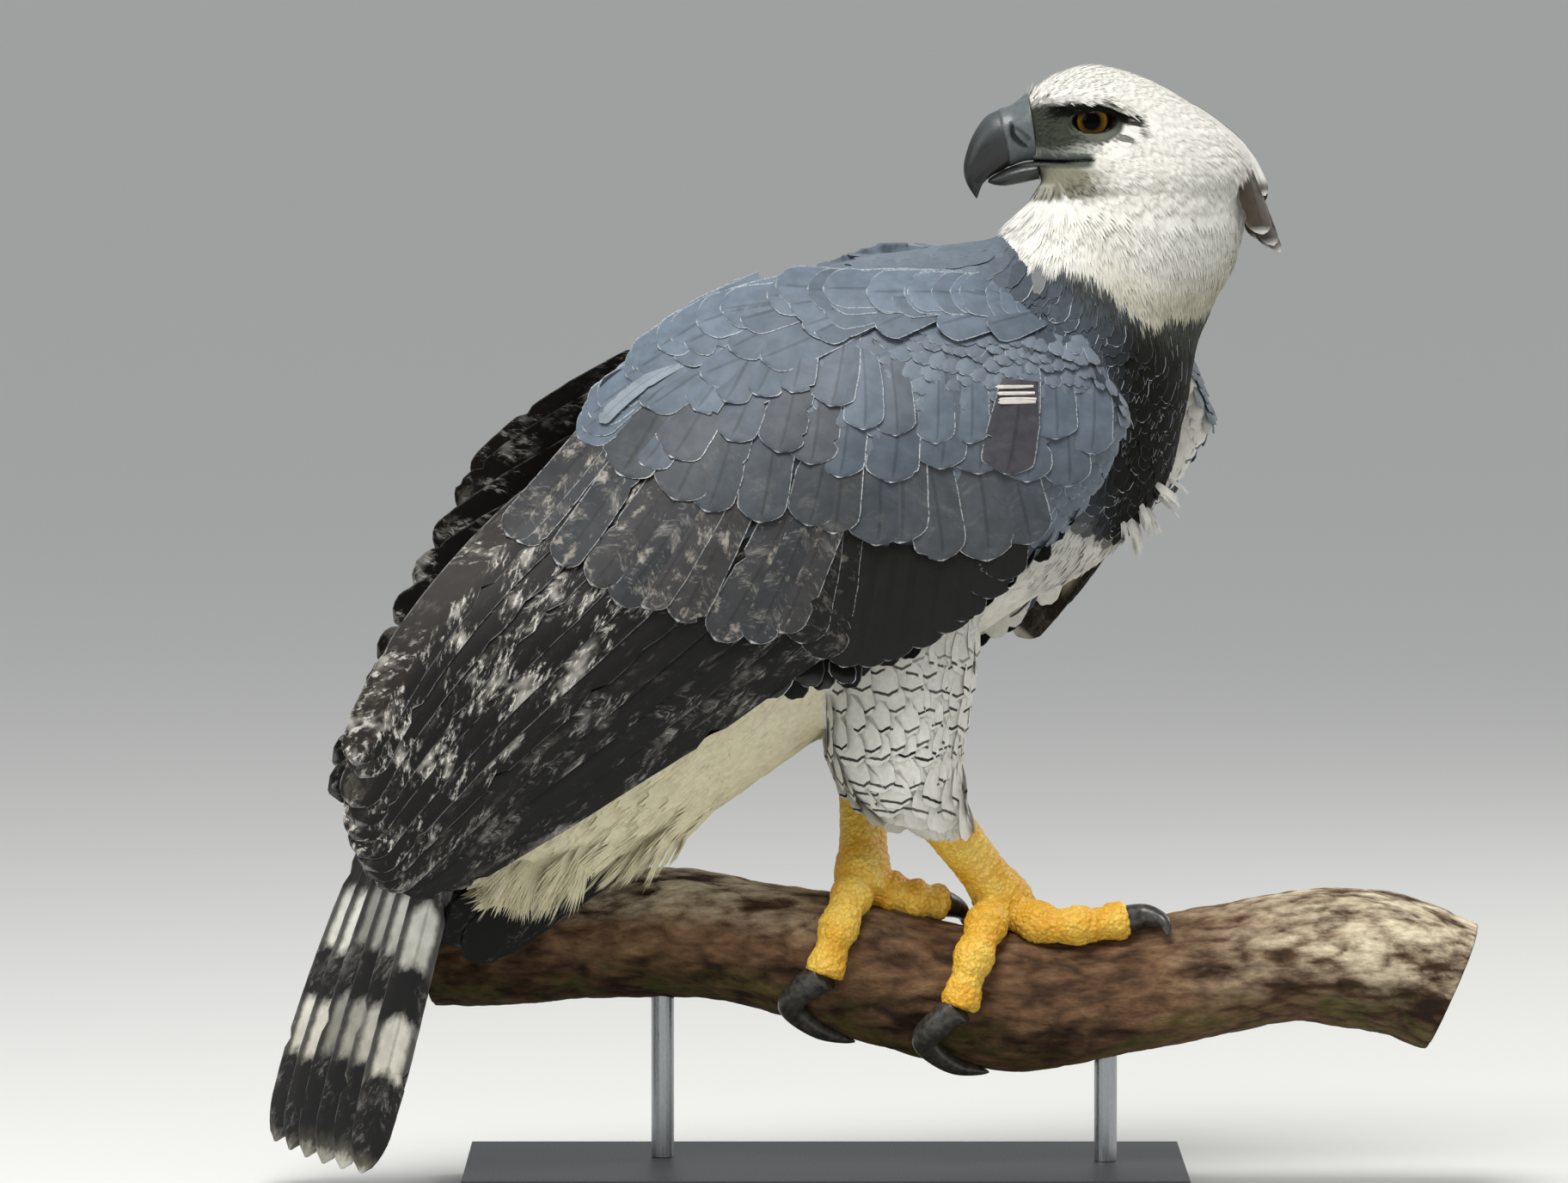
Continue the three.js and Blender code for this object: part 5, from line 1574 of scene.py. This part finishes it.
# Crest feathers: where along the nape each starts and ends, how far to one side, lift at the tip, dark share.
crestSettings = {
    "line": [(205, 309), (228, 297), (247, 280), (258, 262), (263, 240), (267, 214)],
    "feathers": [
        (18, 74, -0.8, 1.5, 0.0), (20, 80, -0.5, 1.5, 0.0), (16, 78, 0.55, 1.5, 0.0),
        (22, 84, 0.85, 1.5, 0.0), (26, 92, -0.3, 7.0, 0.12), (28, 96, 0.35, 6.0, 0.14),
        (36, 114, -0.85, 6.5, 0.62),
        (38, 119, 0.8, 7.0, 0.62), (44, 122, -0.45, 8.5, 0.6), (46, 124, 0.4, 8.0, 0.6),
        (50, 127, -0.05, 10.5, 0.6),
    ],
    "half": 8.0, "wide": 26, "long": 118, "seed": 41,
}


def buildCrest(s):
    line = evenly(splinePoints(s["line"], 120), 120)
    run = np.linspace(0, s["long"], 120)
    slope = unit(np.gradient(line, axis=0))

    def surface(u, v, lift):
        # u along the nape, v to one side; past the nape's end it runs straight on
        u, v, lift = np.broadcast_arrays(*(np.asarray(k, float) for k in (u, v, lift)))
        x, z, tx, tz = (np.interp(u, run, row) for row in (*line.T, *slope.T))
        up = lift - v * v / 90
        over = np.maximum(u - s["long"], 0)
        return headPoint(x - up * tz + over * tx, z + up * tx + over * tz, v)

    bag = VaneBag(s["seed"])
    for start, reach, aside, lift, darkShare in s["feathers"]:
        def shade(v, u, low=1 - darkShare, dark=darkShare > 0):
            share = ease(v, low - 0.08, low + 0.04) * (1 - 0.9 * ease(v, 0.94, 0.985)) * dark
            return blend(plumage["white"] * 0.9, rgb("3c342a"), share)

        style = {"rows": 24, "half": s["half"], "arch": 0.8, "notches": 0.15,
                 "lift": [(0, -4), (0.35, -2.5), (0.62, 0.3 * lift), (1, lift)], "tipLong": 1.2,
                 "tilt": -4.5 * np.sign(aside)}
        path = [(start, aside * 0.6 * s["wide"]), (reach, aside * s["wide"])]
        bag.add(surface, path, style, shade, 0.3, (0.05, 0.0))
    return bag.build("crestFeathers", flightPlumage)


finish(buildCrest(crestSettings), "white_feathers")

# The bill in two halves, with its bare base.
billSettings = {
    "upper": [(129.5, 264.2, 123.7, 304.2, 18), (122.1, 263.7, 113.7, 296.8, 14),
              (114.7, 261.1, 105.3, 294.2, 12.5), (108.4, 257.4, 97.9, 290, 11),
              (103.2, 254.7, 91.1, 280.5, 9), (99.5, 252.1, 86.8, 270, 7), (97.4, 250, 84.7, 259.5, 5),
              (95.8, 247.9, 86.3, 250, 3), (92.9, 240.2, 92.2, 240.5, 0.4)],
    "lower": [(131.1, 252.1, 129.6, 263.2, 13), (120, 249.5, 121.1, 262.1, 11),
              (110.5, 247.9, 111.6, 258.9, 8.5), (103.7, 248.4, 103.7, 254.7, 5),
              (99.5, 250, 100, 252.1, 1.5)],
    "nostril": [(114.1, 284.9), (114.8, 279), (118.5, 274.6), (122.2, 272.1)],
    "hollow": [(117, 282.7), (121, 279.5), (124.4, 276)],
    "cere": [(250, 112), (262, 113), (275, 111.5), (285, 108.5), (300, 105.5)],
}


def billRings(rows, stations, sides, ridge):
    rings = []
    c, s = np.cos(ringTurn(sides)), np.sin(ringTurn(sides))
    for x1, z1, x2, z2, half in splinePoints(rows, stations):
        side = max(half, 0.25) * np.sign(s) * np.abs(s) ** 0.85 * (1 - ridge * np.clip(c, 0, 1) ** 3)
        rings.append(headPoint((x1 + x2) / 2 + (x2 - x1) / 2 * c, (z1 + z2) / 2 + (z2 - z1) / 2 * c, side))
    return np.array(rings)


def nearLine(place, line):
    # distance in x and z from each point to a line of points, and how far along it
    path = evenly(splinePoints(line, 40), 40)
    gap = np.hypot(place[:, None, 0] - path[None, :, 0], place[:, None, 2] - path[None, :, 1])
    return gap.min(1), gap.argmin(1) / 39


def hornMaterial():
    # bluish-grey horn, paler on the bare base; the tint is also lighter toward the top and darker toward the
    # lower edge and the hook, which is painted light from above and painted shade below
    material, w, shader = newMaterial("billHorn", 0.26)
    grain = w.noise(w.place(), 420, 4, 0.6)
    colour = w.mix(w.range(grain, 0.3, 0.7, 0.0, 0.35), w.stored("tint", "Color"), colour4("2b2d2b"))
    w.put(shader, {"Base Color": colour, "Roughness": w.range(grain, 0.3, 0.8, 0.28, 0.5)})
    w.bump(grain, 0.12, 0.0004, shader)
    return material


billHorn = hornMaterial()


def buildUpper(s):
    upper = loftMesh("billUpper", billRings(s["upper"], 150, 88, 0.35))
    place = points(upper)
    x, _, z = place.T
    sides = ease(np.abs(place[:, 1] - headPoint(x, z, 0)[:, 1]), 4, 8)
    gap, run = nearLine(place, s["nostril"])
    depth = 2.6 * np.exp(-(gap / (1.0 + 0.6 * np.sin(np.pi * run))) ** 2) * sides
    gap, _ = nearLine(place, s["hollow"])
    depth += 1.2 * np.exp(-(gap / 1.3) ** 2) * sides
    # the bare base swells a little above the horn
    border = tableValue(s["cere"], z)
    cere = ease(x, border - 0.8, border + 0.8)
    place = place + normals(upper) * (0.7 * cere - depth)[:, None]
    setPoints(upper, place)
    z = place[:, 2]
    # lighter toward the top and darker toward the lower edge: painted light from above and painted shade
    # below
    colour = blend(rgb("191b1b"), rgb("4d5456"), ease(z, 262, 298) ** 1.6)
    colour = colour * (1 - 0.5 * ease(z, 276, 252))[:, None]
    colour = blend(colour, colour * 0.45 + rgb("6d7577") * 0.55, cere)
    # darker where the nostril and its groove are pressed in: painted shade in the hollows
    paint(upper, colour * (1 - 0.9 * np.clip(depth / 2.0, 0, 1))[:, None])
    return upper


def buildBill(s):
    upper = buildUpper(s)
    lower = loftMesh("billLower", billRings(s["lower"], 60, 64, 0.1))
    paint(lower, blend(rgb("232625"), rgb("666a65"), ease(points(lower)[:, 2], 259.5, 262)))
    for piece, node in ((upper, "bill_upper"), (lower, "bill_lower")):
        piece.data.materials.append(billHorn)
        finish(piece, "bill_horn", node)


buildBill(billSettings)


def eyeMaterial(name, centre, gaze, s):
    material, w, shader = newMaterial(name, 0.12)
    arm = w.vector("NORMALIZE", w.vector("SUBTRACT", w.place(), toMetres(centre).tolist()))
    angle = w.maths("ARCCOSINE", w.vector("DOT_PRODUCT", arm, gaze.tolist())) * (180 / math.pi)
    bent = angle + w.range(w.noise(arm, 26, 3, 0.6), 0.2, 0.8, -1.2, 1.2)
    stops = [(0.0, "020202"), (s["pupil"] - 1.2, "030202"), (s["pupil"] + 1.2, "281d0b"), (36, "584012"),
             (s["iris"] - 4, "6b4f18"), (s["iris"] - 1, "241a0c"), (s["iris"] + 2, "0c0a08"), (90, "0c0a08")]
    colour = w.ramp(bent / 90.0, [(degrees / 90, code) for degrees, code in stops])
    streak = w.range(w.noise(arm, 60, 2, 0.7), 0.3, 0.7, 0.75, 1.15)
    w.put(shader, {"Base Color": w.times(colour, streak), "Specular IOR Level": 0.0, "Coat Weight": 0.08,
                   "Coat Roughness": 0.02})
    return material


def buildEye(side, name, node, s, sides=64):
    cx, cy, cz = headPoint(s["centre"][0], s["centre"][1], side * s["out"])
    turn = ringTurn(sides)
    rings = []
    for up in np.linspace(-math.pi / 2 + 0.03, math.pi / 2 - 0.03, 48):
        flat, high = math.cos(up) * s["radius"], math.sin(up) * s["radius"]
        ring = (cx + np.cos(turn) * flat, cy + np.sin(turn) * flat, np.full(sides, cz + high))
        rings.append(np.stack(ring, -1))
    ball = loftMesh(name, rings)
    ball.data.materials.append(eyeMaterial(name + "Iris", (cx, cy, cz), unit((-0.16, side, 0.0)), s))
    finish(ball, "iris", node)


buildEye(-1, "eyeLeft", "eye_left", eyeSettings)
buildEye(1, "eyeRight", "eye_right", eyeSettings)
print("crest, bill and eyes made")

# The branch, and places round it.
branchLine = [
    (-240, 56, -218), (-195, 48, -216), (-141, 36, -213), (-86, 21, -211), (-32, 8, -219), (22, 0, -231),
    (76, 0, -245), (130, 0, -252), (184, 0, -246), (238, 0, -234), (292, 0, -223), (346, 0, -227),
    (384, 0, -242),
]


def branchSize(x):
    x = np.asarray(x, float)
    return 41 * (1 + 0.05 * np.sin(x / 46) + 0.02 * np.sin(x / 17 + 1))


def branchMiddle(x):
    # y and z of the branch's middle
    rows = np.array(branchLine, float)
    return np.interp(x, rows[:, 0], rows[:, 1]), np.interp(x, rows[:, 0], rows[:, 2])


def onBranch(x, turn, lift):
    # a point round the branch, turn in degrees from its top
    r = branchSize(x) * 1.02 + lift
    y, z = branchMiddle(x)
    return np.array([x, y - np.sin(np.radians(turn)) * r, z + np.cos(np.radians(turn)) * r])


def fractal(place, scale, octaves, seed, waves=5):
    # smooth noise: a few turned waves of each size
    rng = np.random.default_rng(seed)
    total = np.zeros(len(place))
    size = 1.0
    for _ in range(octaves):
        for _ in range(waves):
            way = unit(rng.normal(0, 1, 3)) * scale * rng.uniform(0.7, 1.4) / size
            total += size * np.sin(place @ way + rng.uniform(0, 6.28)) / waves
        size *= 0.55
    return total


def knobbly(place, spacing, seed):
    # 1 on the middle of each rounded scale, 0 in the creases between them
    rng = np.random.default_rng(seed)
    low, high = place.min(0) - spacing, place.max(0) + spacing
    axes = [np.arange(a, b, spacing) for a, b in zip(low, high)]
    grid = np.stack(np.meshgrid(*axes, indexing="ij"), -1).reshape(-1, 3)
    tree = lookup(grid + rng.uniform(-0.42, 0.42, grid.shape) * spacing)
    near = np.array([[hit[2] for hit in tree.find_n(q, 2)] for q in place])
    return np.clip((near[:, 1] - near[:, 0]) / (0.45 * spacing), 0, 1) ** 0.6


def barkMaterial():
    # brown bark, darker down in its cracks and lighter on the raised flakes; cream in patches on the top
    # toward one end and all round near the other; mossy below
    material, w, shader = newMaterial("bark", 0.9)
    stretched = w.vector("MULTIPLY", w.place(), (0.4, 1.0, 1.0))
    plates = w.noise(stretched, 70, 5, 0.65)
    fine = w.noise(stretched, 330, 4, 0.7)
    stops = [(0.20, "2a1d13"), (0.34, "4b3626"), (0.50, "6b5039"), (0.66, "876a4e"), (0.84, "a88c6c")]
    high, pale, mossy = w.parts(w.stored("tint", "Color"))
    colour = w.ramp(plates * 0.5 - 0.08 + high * 0.62, stops)
    colour = w.mix(pale * w.range(plates + high * 0.5, 0.55, 0.95), colour, colour4("dccfb2"))
    colour = w.mix(mossy * w.range(plates, 0.42, 0.62, 0.0, 0.7), colour, colour4("4a4a22"))
    colour = w.times(colour, w.range(fine, 0.3, 0.7, 0.7, 1.15))
    w.put(shader, {"Base Color": colour, "Specular IOR Level": 0.2})
    w.bump(plates + fine * 0.6, 0.8, 0.002, shader)
    return material


def endGrainMaterial():
    # sawn end: rings round the branch's own middle, dark bark at the rim
    material, w, shader = newMaterial("sawnEnd", 0.8)
    radius, _, _ = w.parts(w.stored("tint", "Color"))
    wave = w.maths("SINE", radius * 110.0 + w.noise(w.place(), 60, 3, 0.6) * 6.0)
    colour = w.mix(w.range(wave, -1, 1), colour4("b58f62"), colour4("d4b689"))
    w.put(shader, {"Base Color": w.mix(w.range(radius, 0.93, 0.99), colour, colour4("4f3c2a"))})
    w.bump(wave, 0.2, 0.0005, shader)
    return material


def barkHeight(place):
    # flakes, cracks and ridges, drawn out along the branch
    warp = place * (0.4, 1, 1)
    flakes = np.round(np.clip(fractal(warp, 0.075, 4, 35) * 0.6 + 0.5, 0, 1) * 4) / 4
    cracks = knobbly(warp + 3 * fractal(warp, 0.1, 2, 95)[:, None], 11.0, 8)
    ridges = 1 - np.abs(fractal(warp, 0.22, 4, 75)) * 2.2
    return 0.45 * flakes + 0.35 * cracks + 0.2 * np.clip(ridges, -1, 1)


def sawnEnd(rim, outward, rings=24):
    # a flat disc of rings over a cut end
    middle, sides = rim.mean(0), len(rim)
    shares = np.linspace(1.0, 0.02, rings)
    place = middle + (rim - middle)[None] * shares[:, None, None] + outward * 0.25
    faces = ringFaces(rings, sides) + [tuple(range((rings - 1) * sides, rings * sides))]
    disc = faceOut(makeMesh("sawnEnd", place.reshape(-1, 3), faces))
    if np.dot(disc.data.polygons[0].normal, outward) < 0:
        disc.data.flip_normals()
    paint(disc, np.repeat(shares, sides)[:, None] * np.ones(3))
    return disc


def buildBranch(stations=300, sides=170):
    line = evenly(splinePoints(branchLine, 800), stations)
    ahead = unit(np.gradient(line, axis=0))
    side = unit(np.array([0, 1, 0]) - ahead * ahead[:, [1]])
    up = np.cross(ahead, side)
    up *= np.sign(up[:, [2]])
    turn = ringTurn(sides)
    x = line[:, None, 0]
    lump = 0.03 * np.sin(3 * turn[None] + x / 60) + 0.02 * np.sin(5 * turn[None] - x / 34)
    radius = (branchSize(x) * (1 + lump))[..., None]
    place = line[:, None] + side[:, None] * (np.cos(turn)[None, :, None] * radius)
    place = (place + up[:, None] * (np.sin(turn)[None, :, None] * radius)).reshape(-1, 3)
    height = barkHeight(place)
    centre = np.repeat(line, sides, 0)
    outward = unit(place - centre)
    place = place + outward * (2.6 * height - 1.9)[:, None]
    rings = place.reshape(stations, sides, 3)
    branch = loftMesh("branch", rings)
    moss = ease(-outward[:, 2], 0.1, 0.7)
    pale = ease(outward[:, 2], 0.1, 0.8) * ease(centre[:, 0], 60, -100)
    pale = np.maximum(pale, ease(centre[:, 0], 200, 330) * ease(outward[:, 2], -0.9, 0.3))
    paint(branch, np.stack([np.clip(height * 0.8 + 0.1 - 0.2 * moss, 0, 1), pale, moss], -1))
    branch.data.materials.append(barkMaterial())
    cut = joinWithPaint("branchEnds", [sawnEnd(rings[0], -ahead[0]), sawnEnd(rings[-1], ahead[-1])])
    cut.data.materials.append(endGrainMaterial())
    finish(branch, "bark", "perch_branch")
    finish(cut, "bark")


def joinWithPaint(name, objects):
    # joins meshes that share their attribute names
    bpy.ops.object.select_all(action="DESELECT")
    for obj in objects:
        obj.select_set(True)
    bpy.context.view_layer.objects.active = objects[0]
    bpy.ops.object.join()
    objects[0].name = name
    return objects[0]


buildBranch()
print("branch made")

# Feet: shank and toes in one scaly skin each, claws of horn.
footSettings = {
    "voxel": 1.25, "toeRadius": 11.5, "toeSunk": 0.82, "clawLifts": (9, 8, 7, 3.4),
    "shankRadii": [17.4, 16.0, 15.0, 14.6, 15.6], "heelRadii": [16.5, 18, 15],
    "right": {"at": 108, "shankTop": (68, -34, -132)},
    "left": {"at": 26, "shankTop": (24.5, 44, -104)},
    # each toe and its claw: along the branch from the foot, and degrees round it
    "toes": {
        "hind": ([(0, 0), (-9, 28), (-18, 62), (-27, 96)], [(-42, 114), (-47, 130), (-30, 150), (-8, 166)]),
        "middle": ([(0, 0), (13, -30), (20, -62), (22, -92)],
                   [(22, -108), (21, -126), (20, -142), (19, -154)]),
        "outer": ([(0, 0), (-4, -30), (-9, -58), (-11, -84)],
                  [(-12, -99), (-13, -114), (-13, -128), (-13, -140)]),
    },
    "innerRight": ([(0, 0), (26, 20), (52, 24), (76, 20)], [(86, 19), (93, 24), (99, 33), (101, 44)]),
    "innerLeft": ([(0, 0), (17, 8), (33, 8), (45, 0)], [(51, -7), (56, -15), (59, -24), (60, -33)]),
}


def scalyMaterial():
    material, w, shader = newMaterial("yellowSkin", 0.5)
    place = w.place()
    inputs = {"Vector": place, "Scale": 380, "Smoothness": 0.35}
    cells = w.get("ShaderNodeTexVoronoi", inputs, "Distance", feature="SMOOTH_F1")
    dome = w.range(cells, 0.75, 0.15)
    patches = w.range(w.noise(place, 38, 3, 0.6), 0.35, 0.65)
    colour = w.mix(patches, colour4("ebb42c"), colour4("f8d862"))
    # a deeper, darker orange in the creases between the scales: painted shade
    colour = w.mix((1.0 - dome) * 0.45, colour, colour4("d09626"))
    w.put(shader, {"Base Color": w.times(colour, w.stored("tint", "Color")), "Subsurface Weight": 0.08,
                   "Subsurface Radius": (0.004, 0.002, 0.001)})
    w.bump(dome, 0.7, 0.0010, shader)
    return material


def clawMaterial():
    material, w, shader = newMaterial("clawHorn", 0.34)
    grain = w.noise(w.place(), 300, 4, 0.6)
    w.put(shader, {"Base Color": w.mix(w.range(grain, 0.3, 0.7), colour4("1b1a17"), colour4("46423a"))})
    w.bump(grain, 0.15, 0.0004, shader)
    return material


yellowSkin = scalyMaterial()
clawHorn = clawMaterial()


def offBranch(place, gap):
    # keeps points out of the branch
    y, z = branchMiddle(place[:, 0])
    arm = np.stack([place[:, 1] - y, place[:, 2] - z], -1)
    far = np.linalg.norm(arm, axis=1)
    least = branchSize(place[:, 0]) + gap
    push = np.where(far < least, least / np.maximum(far, 1e-6), 1)
    return np.stack([place[:, 0], y + arm[:, 0] * push, z + arm[:, 1] * push], -1)


def bandsOf(run, width):
    # broad scutes: 1 on each, 0 between two
    return np.abs(np.sin(run * math.pi / width)) ** 0.5


def buildClaw(side, name, start, claw, s):
    at = s[side]["at"]
    line = [start] + [onBranch(at + x, turn, lift) for (x, turn), lift in zip(claw, s["clawLifts"])]
    f = np.linspace(0, 1, 30)
    radii = (9.6 if name == "hind" else 8) * (1 - f) ** 0.62 + 0.7
    horn = tube("claw" + side.capitalize() + name.capitalize(), line, radii, 24, 44)
    setPoints(horn, offBranch(points(horn), 0.4))
    horn.data.materials.append(clawHorn)
    finish(horn, "claw_horn", "claw_%s_%s" % (side, name))


def scaledSkin(foot, side, s, top, down):
    # scutes on the shank's front and the toes' tops, and small knobs all over
    place, n = points(foot), normals(foot)
    onShank = ease(place[:, 2], -188, -176)
    front = ease(n[:, 0] - 0.3 * n[:, 1], 0.0, 0.6)
    scutes = bandsOf((place - top) @ down, 6.5)
    place = place + n * ((scutes - 0.9) * 0.9 * onShank * front)[:, None]
    centre = np.stack([place[:, 0], *branchMiddle(place[:, 0])], -1)
    arm = place - centre
    onTop = ease((n * unit(arm)).sum(1), 0.2, 0.7) * (1 - onShank)
    # round the branch on most toes, along it on the inner one
    ringed = bandsOf(np.degrees(np.arctan2(-arm[:, 1], arm[:, 2])), 9.5)
    scutes = np.where(np.abs(place[:, 0] - s[side]["at"]) > 30, bandsOf(place[:, 0], 6.5), ringed)
    place = place + n * ((scutes - 0.9) * 0.9 * onTop)[:, None]
    knobs = knobbly(place, 7.0, 3) * (1 - 0.5 * onShank) + 0.5 * knobbly(place, 3.6, 4)
    setPoints(foot, offBranch(place + n * (0.9 * (knobs - 0.7))[:, None], 0.35))
    # paler on the shank's front: a painted highlight
    tint = blend(np.array([0.97, 0.93, 0.80]), np.array([1.0, 1.05, 1.5]), onShank * 0.55 * front)
    # darker in the creases between the knobs: painted shade
    paint(foot, np.clip(0.84 + 0.16 * knobs / 1.5, 0, 1)[:, None] * tint)


def buildFoot(side, s):
    at, radius = s[side]["at"], s["toeRadius"]
    top = np.array(s[side]["shankTop"], float)
    ankle = onBranch(at - 3, 4, 22)
    down = unit(ankle - top)
    shank = [top + down * k for k in np.linspace(0, np.linalg.norm(ankle - top), 5)]
    pieces = [tube("shank", shank, s["shankRadii"], 40, 50),
              tube("heel", [ankle + down * k for k in (-4, 10, 24)], s["heelRadii"], 40, 24)]
    toes = dict(s["toes"], inner=s["inner" + side.capitalize()])
    f = np.linspace(0, 1, 60)
    knuckles = radius * (1.12 - 0.2 * f + 0.11 * np.sin(f * 21.0 + 0.6))
    for path, _ in toes.values():
        lifts = [12] + [radius * s["toeSunk"]] * (len(path) - 1)
        line = [onBranch(at + x, turn, lift) for (x, turn), lift in zip(path, lifts)]
        pieces.append(tube("toe", line, knuckles, 32, 60))
    foot = remeshed(joinObjects("foot" + side.capitalize(), pieces), s["voxel"], 4)
    scaledSkin(foot, side, s, top, down)
    smoothed(foot).data.materials.append(yellowSkin)
    finish(foot, "yellow_skin", "shank_" + side, "foot_" + side)
    for name, (path, claw) in toes.items():
        start = onBranch(at + path[-1][0], path[-1][1], radius * s["toeSunk"])
        buildClaw(side, name, start, claw, s)


buildFoot("right", footSettings)
buildFoot("left", footSettings)
print("feet and claws made")


def plainMaterial(name, code, roughness, metallic, scale, grain):
    material, w, shader = newMaterial(name, roughness)
    speck = w.noise(w.vector("MULTIPLY", w.place(), grain), scale, 3, 0.6)
    colour = w.mix(w.range(speck, 0.3, 0.7), colour4(code), (*(rgb(code) * 1.25), 1.0))
    rough = w.range(speck, 0.3, 0.7, roughness - 0.06, roughness + 0.08)
    w.put(shader, {"Base Color": colour, "Roughness": rough, "Metallic": metallic})
    return material


standLooks = {
    "stand_base": plainMaterial("standPlate", "2c2e30", 0.45, 0.0, 900, (1, 1, 1)),
    "stand_rod_rear": plainMaterial("standSteel", "9a9da0", 0.3, 1.0, 300, (4, 4, 0.3)),
}
standLooks["stand_rod_front"] = standLooks["stand_rod_rear"]
for nodeName, look in standLooks.items():
    node = frame["nodes"][nodeName]
    node.data.materials.clear()
    node.data.materials.append(look)

for template in list(templates.objects):
    bpy.data.objects.remove(template)
bpy.data.collections.remove(templates)
